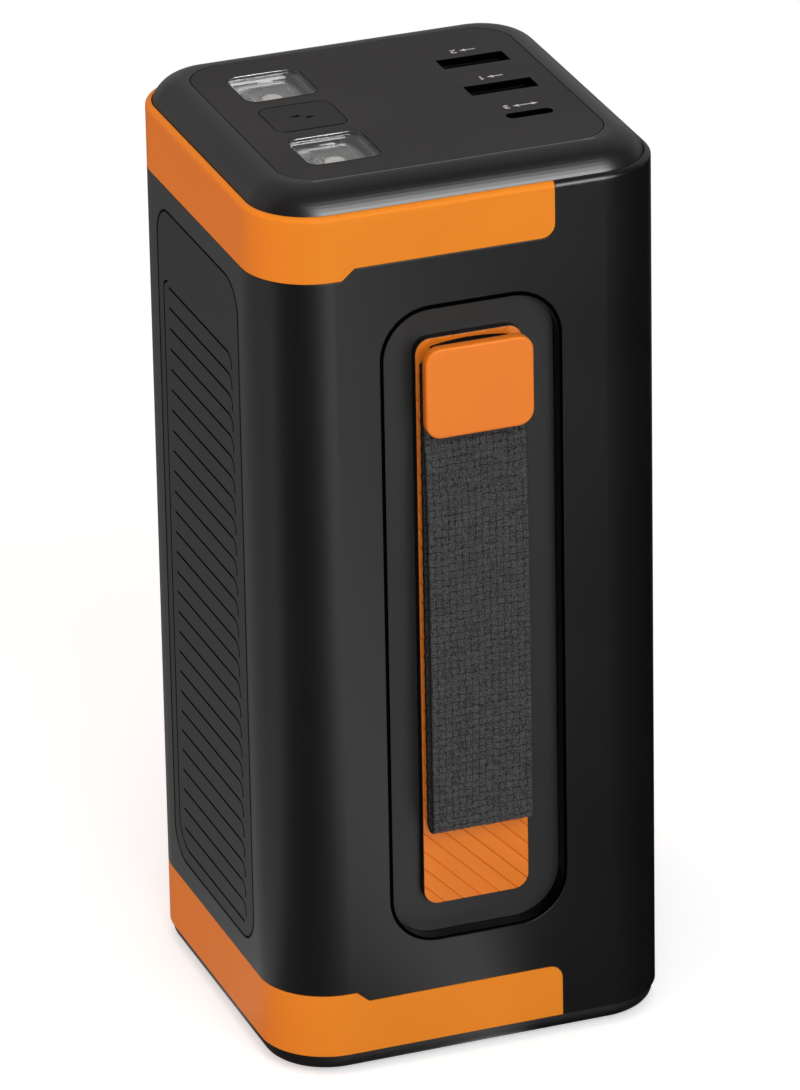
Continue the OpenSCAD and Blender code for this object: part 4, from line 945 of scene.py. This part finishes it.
def weave(x, v, blocks):
    """Places across and along the weave, in blocks, how high the webbing stands there, 0 to 1, and how far
    each row's yarns stand out at the selvedges."""
    uu, vv = np.meshgrid((x + STRAP_W / 2) / BLOCK_W, v)
    # the weave wanders a little, but not where the loop closes or at the selvedges
    rng = np.random.default_rng(7)
    calm = np.clip(np.minimum(v, blocks - v) / 4, 0, 1)
    slow = smoothed(rng.normal(size=len(v) + 60), 61, len(v) + 60)[30:-30] / 4 * calm
    sway = smoothed(rng.normal(size=len(x) + 40), 41, len(x)) / 3.4
    uu = uu + 0.05 * slow[:, None] * np.clip(np.minimum(uu, BLOCKS - uu) / 2, 0, 1)
    vv = vv + (0.06 * sway[None, :] + 0.03 * np.sin(uu * 2.1 + vv * 0.7)) * calm[:, None]
    fu, fv = np.abs(2 * (uu % 1) - 1), np.abs(2 * (vv % 1) - 1)
    odd = (np.floor(uu) + np.floor(vv)) % 2 > 0.5
    high = (1 - np.where(odd, fu, fv) ** 2.4) * (0.35 + 0.65 * (1 - np.where(odd, fv, fu) ** 6))
    # no two blocks stand equally high
    column, row = np.floor(uu).astype(int).clip(0, BLOCKS + 1), np.floor(vv).astype(int) % blocks
    high *= 0.85 + 0.15 * rng.random((blocks, BLOCKS + 2))[row, column]
    return uu, vv, high, 0.05 * rng.random(len(v))


def make_strap():
    path, blocks = strap_path()
    ahead = np.roll(path, -2, 0) - np.roll(path, 2, 0)
    ahead /= np.linalg.norm(ahead, axis=1)[:, None]
    out = np.stack([ahead[:, 1], -ahead[:, 0]], 1)       # away from the loop's inside
    x, off, face = strap_section()
    rows, k = len(path), len(x)
    v = np.arange(rows) / STEP
    uu, vv, high, ragged = weave(x, v, blocks)
    front = path[:, 0] < (FRONT_TOP + BACK_PLY) / 2
    crease = np.exp(-((path[:, 1] - CREASE_Z) / CREASE_W) ** 2) * front
    # the crease flattens the weave, which also darkens its painted shade there
    high *= 1 - 0.7 * crease[:, None]
    d = off[None, :] + np.where(face, CROWN * high, 0)
    # yarns that turn back at the selvedge stand out a little
    loops = (0.09 * np.abs(np.sin(np.pi * v / 2)) + ragged)[:, None] * np.sign(x)[None, :]
    xx = STRAP_X + x[None, :] + loops * np.clip((np.abs(x) - FLAT_W / 2 + 0.3) / 0.6, 0, 1)[None, :]
    verts = np.stack([xx, path[:, 0, None] + out[:, 0, None] * d, path[:, 1, None] + out[:, 1, None] * d], 2)
    i, j = np.arange(rows)[:, None] * k, np.arange(k)[None, :]
    i2, j2 = (i + k) % (rows * k), (j + 1) % k
    quads = np.stack(np.broadcast_arrays(i + j, i + j2, i2 + j2, i2 + j), 2).reshape(-1, 4)
    mesh = bpy.data.meshes.new("strap_webbing")
    mesh.from_pydata(verts.reshape(-1, 3) * MM, [], quads)
    mesh.update()
    attr = mesh.attributes.new("weave", "FLOAT_VECTOR", "POINT")
    attr.data.foreach_set("vector", np.stack([uu, vv, high], 2).astype(np.float32).ravel())
    mesh.materials.append(materials["webbing"])
    mesh.shade_smooth()
    ob = placed("strap_webbing", mesh)
    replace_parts(ob, "strap_loop", "strap_root")
    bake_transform(ob)


make_strap()


# ---------------------------------------------------------------- camera, stage and light, in metres

def aim(ob, azimuth, elevation, roll, distance, target, shift=(0, 0)):
    """Puts an object at this distance and these angles round target, facing it. Angles are in degrees, and
    shift moves it along its own X and Y."""
    a, e, t = (math.radians(v) for v in (azimuth, elevation, roll))
    back = Vector((math.sin(a) * math.cos(e), -math.cos(a) * math.cos(e), math.sin(e)))
    right = (-back).cross(Vector((0, 0, 1))).normalized()
    up = right.cross(-back)
    r2 = math.cos(t) * right + math.sin(t) * up
    u2 = -math.sin(t) * right + math.cos(t) * up
    ob.matrix_world = Matrix.Translation(Vector(target) + back * distance + r2 * shift[0] + u2 * shift[1]) @ \
        Matrix((r2, u2, back)).transposed().to_4x4()


# the photograph's view, solved from points on the part
FRAME_H, SENSOR = 1090, 36                   # height of the photograph in pixels, and of the sensor in mm
FOCUS, DISTANCE = 8606.04, 1.602945          # in pixels, in metres
AZIMUTH, ELEVATION, ROLL = -20.15260158, 24.54922075, -1.05455797
TARGET = (0, 0, 0.0817)
OFF_X, OFF_Y = -3.9335319, 28.30932664       # of the view's middle, in pixels

camera = placed("camera", bpy.data.cameras.new("camera"))
bpy.context.scene.camera = camera
camera.data.sensor_width = SENSOR
camera.data.lens = FOCUS * SENSOR / FRAME_H
camera.data.clip_start, camera.data.clip_end = 0.1, 20
aim(camera, AZIMUTH, ELEVATION, ROLL, DISTANCE, TARGET, (OFF_X * DISTANCE / FOCUS, OFF_Y * DISTANCE / FOCUS))


def seen_white(tree):
    """1 for camera, glossy and transmission rays, which see a plain white studio."""
    path = tree.nodes.new("ShaderNodeLightPath")
    seen = path.outputs["Is Camera Ray"]
    for other in ("Is Glossy Ray", "Is Transmission Ray"):
        n = tree.nodes.new("ShaderNodeMath")
        n.operation = "MAXIMUM"
        tree.links.new(seen, n.inputs[0])
        tree.links.new(path.outputs[other], n.inputs[1])
        seen = n.outputs[0]
    return seen


def sheet_mesh(name, verts, faces, mat):
    mesh = bpy.data.meshes.new(name)
    mesh.from_pydata(verts, [], faces)
    mesh.materials.append(mat)
    ob = placed(name, mesh)
    return ob


def square(half, z):
    return [(-half, -half, z), (half, -half, z), (half, half, z), (-half, half, z)], [(0, 1, 2, 3)]


WHITE = (1, 1, 1, 1)
FLOOR_HALF, FLOOR_GLOW, WORLD_LIGHT = 6, 0.5, 0.32


def make_floor():
    """Pale, with enough of its own light for those rays to read as white outside the shadow."""
    m = Material("pale_floor", (0.8, 0.8, 0.8, 1), 0.9, Specular_IOR_Level=0.1, Emission_Color=WHITE)
    m.set(Emission_Strength=m.math("MULTIPLY", seen_white(m.tree), FLOOR_GLOW))
    sheet_mesh("floor", *square(FLOOR_HALF, 0), m.mat)


def make_world():
    """White where it is seen, softer where it lights."""
    world = bpy.data.worlds.new("studio")
    bpy.context.scene.world = world
    world.use_nodes = True
    tree = world.node_tree
    back = tree.nodes["Background"]
    back.inputs["Color"].default_value = WHITE
    level = tree.nodes.new("ShaderNodeMapRange")
    level.inputs["To Min"].default_value = WORLD_LIGHT
    level.inputs["To Max"].default_value = 1.0
    tree.links.new(seen_white(tree), level.inputs["Value"])
    tree.links.new(level.outputs[0], back.inputs["Strength"])


make_floor()
make_world()


def card(name, verts, faces, levels):
    """A studio card that shows in reflections alone. levels gives its brightness from its place."""
    m = Material(name, (0, 0, 0, 1), 1.0, Specular_IOR_Level=0.0)
    at = m.axes(m.add("ShaderNodeNewGeometry").outputs["Position"])
    m.set(Emission_Color=WHITE, Emission_Strength=levels(m, *at))
    m.mat.cycles.emission_sampling = "NONE"
    ob = sheet_mesh(name, verts, faces, m.mat)
    ob.visible_camera = ob.visible_diffuse = ob.visible_shadow = False


# brightness of the table card by the angle round the part in degrees, counter-clockwise from +X
TABLE = ((0, 0.0), (28, 0.0), (42, 0.06), (60, 0.2), (78, 0.16), (95, 0.12), (110, 0.22), (164, 0.38),
         (188, 0.54), (204, 0.16), (222, 0.05), (240, 0.07), (256, 0.22), (266, 0.58), (276, 1.06),
         (284, 1.16), (292, 1.0), (318, 0.2), (346, 0.03), (360, 0.0))
TABLE_RIGHT = (0.964, 0.276)                 # direction in which the table card goes black
WINDOW_AHEAD, WINDOW_ASIDE = (0.42, -0.91), (0.91, 0.42)      # direction of the window, and across it


def along(m, x, y, way):
    """How far a place is in this direction."""
    return m.math("ADD", m.math("MULTIPLY", x, way[0]), m.math("MULTIPLY", y, way[1]))


def table_levels(m, x, y, z):
    """A white strip before the part, a grey one at its left, and black to its right."""
    turn = m.math("FRACT", m.math("DIVIDE", m.math("ARCTAN2", y, x), 2 * math.pi))
    ramp = m.add("ShaderNodeValToRGB", {0: turn})
    stops = ramp.color_ramp.elements
    for k, (angle, level) in enumerate(TABLE):
        stop = stops[k] if k < 2 else stops.new(angle / 360)
        stop.position, stop.color = angle / 360, (level / 2, level / 2, level / 2, 1)
    lit = m.math("ADD", m.ramp(along(m, x, y, TABLE_RIGHT), 0.001, -0.008), m.ramp(y, 0.0, 0.05), clamp=True)
    return m.both(ramp.outputs[0], 2.0, lit)


def dome_levels(m, x, y, z):
    """Dark overhead, grey at the back, and a bright front window that fades upwards."""
    ahead, aside = along(m, x, y, WINDOW_AHEAD), along(m, x, y, WINDOW_ASIDE)
    window = m.both(m.ramp(ahead, 0.3, 0.7), m.ramp(aside, -1.35, -0.85), m.ramp(aside, 0.5, 0.0),
                    m.ramp(z, 1.9, 0.35, 0.0, 12.5))
    return m.math("ADD", window, m.ramp(y, -0.2, 0.6, 0.04, 0.34))


STUDIO_R, SIDES, TIERS = 2.2, 48, 9


def dome():
    """Half a sphere over the part: tiers of SIDES points and one at the top."""
    turns = np.linspace(0, 2 * math.pi, SIDES + 1)[:-1]
    rises = np.linspace(0, math.pi / 2, TIERS + 1)[:-1]
    tiers = [(STUDIO_R * math.cos(e), STUDIO_R * math.sin(e)) for e in rises]
    verts = [(r * math.cos(a), r * math.sin(a), z) for r, z in tiers for a in turns] + [(0, 0, STUDIO_R)]
    ring = [(i, (i + 1) % SIDES) for i in range(SIDES)]
    faces = [(k * SIDES + i, k * SIDES + j, (k + 1) * SIDES + j, (k + 1) * SIDES + i)
             for k in range(TIERS - 1) for i, j in ring]
    last, top = (TIERS - 1) * SIDES, TIERS * SIDES
    return verts, faces + [(last + i, last + j, top) for i, j in ring]


card("table_card", *square(STUDIO_R, 0.0003), table_levels)      # just over the floor
card("dome_card", *dome(), dome_levels)

LAMPS_AT = (0, 0, 0.09)


def softbox(name, azimuth, elevation, distance, size, power, color=(1, 1, 1)):
    """Area lamp at this angle round the part, of this size. The cards are seen in its place."""
    data = bpy.data.lights.new(name, "AREA")
    data.shape, data.size, data.size_y = "RECTANGLE", *size
    data.energy, data.color = power, color
    lamp = placed(name, data)
    aim(lamp, azimuth, elevation, 0, distance, LAMPS_AT)
    lamp.visible_camera = lamp.visible_glossy = lamp.visible_transmission = False


softbox("key", -4, 32, 1.6, (1.2, 1.0), 13.3)
softbox("top", -30, 80, 1.5, (0.9, 0.9), 6)
softbox("fill", -100, 22, 1.8, (1.0, 1.2), 9.5, (1.0, 0.4, 0.22))

bpy.context.scene.view_settings.view_transform = "Standard"
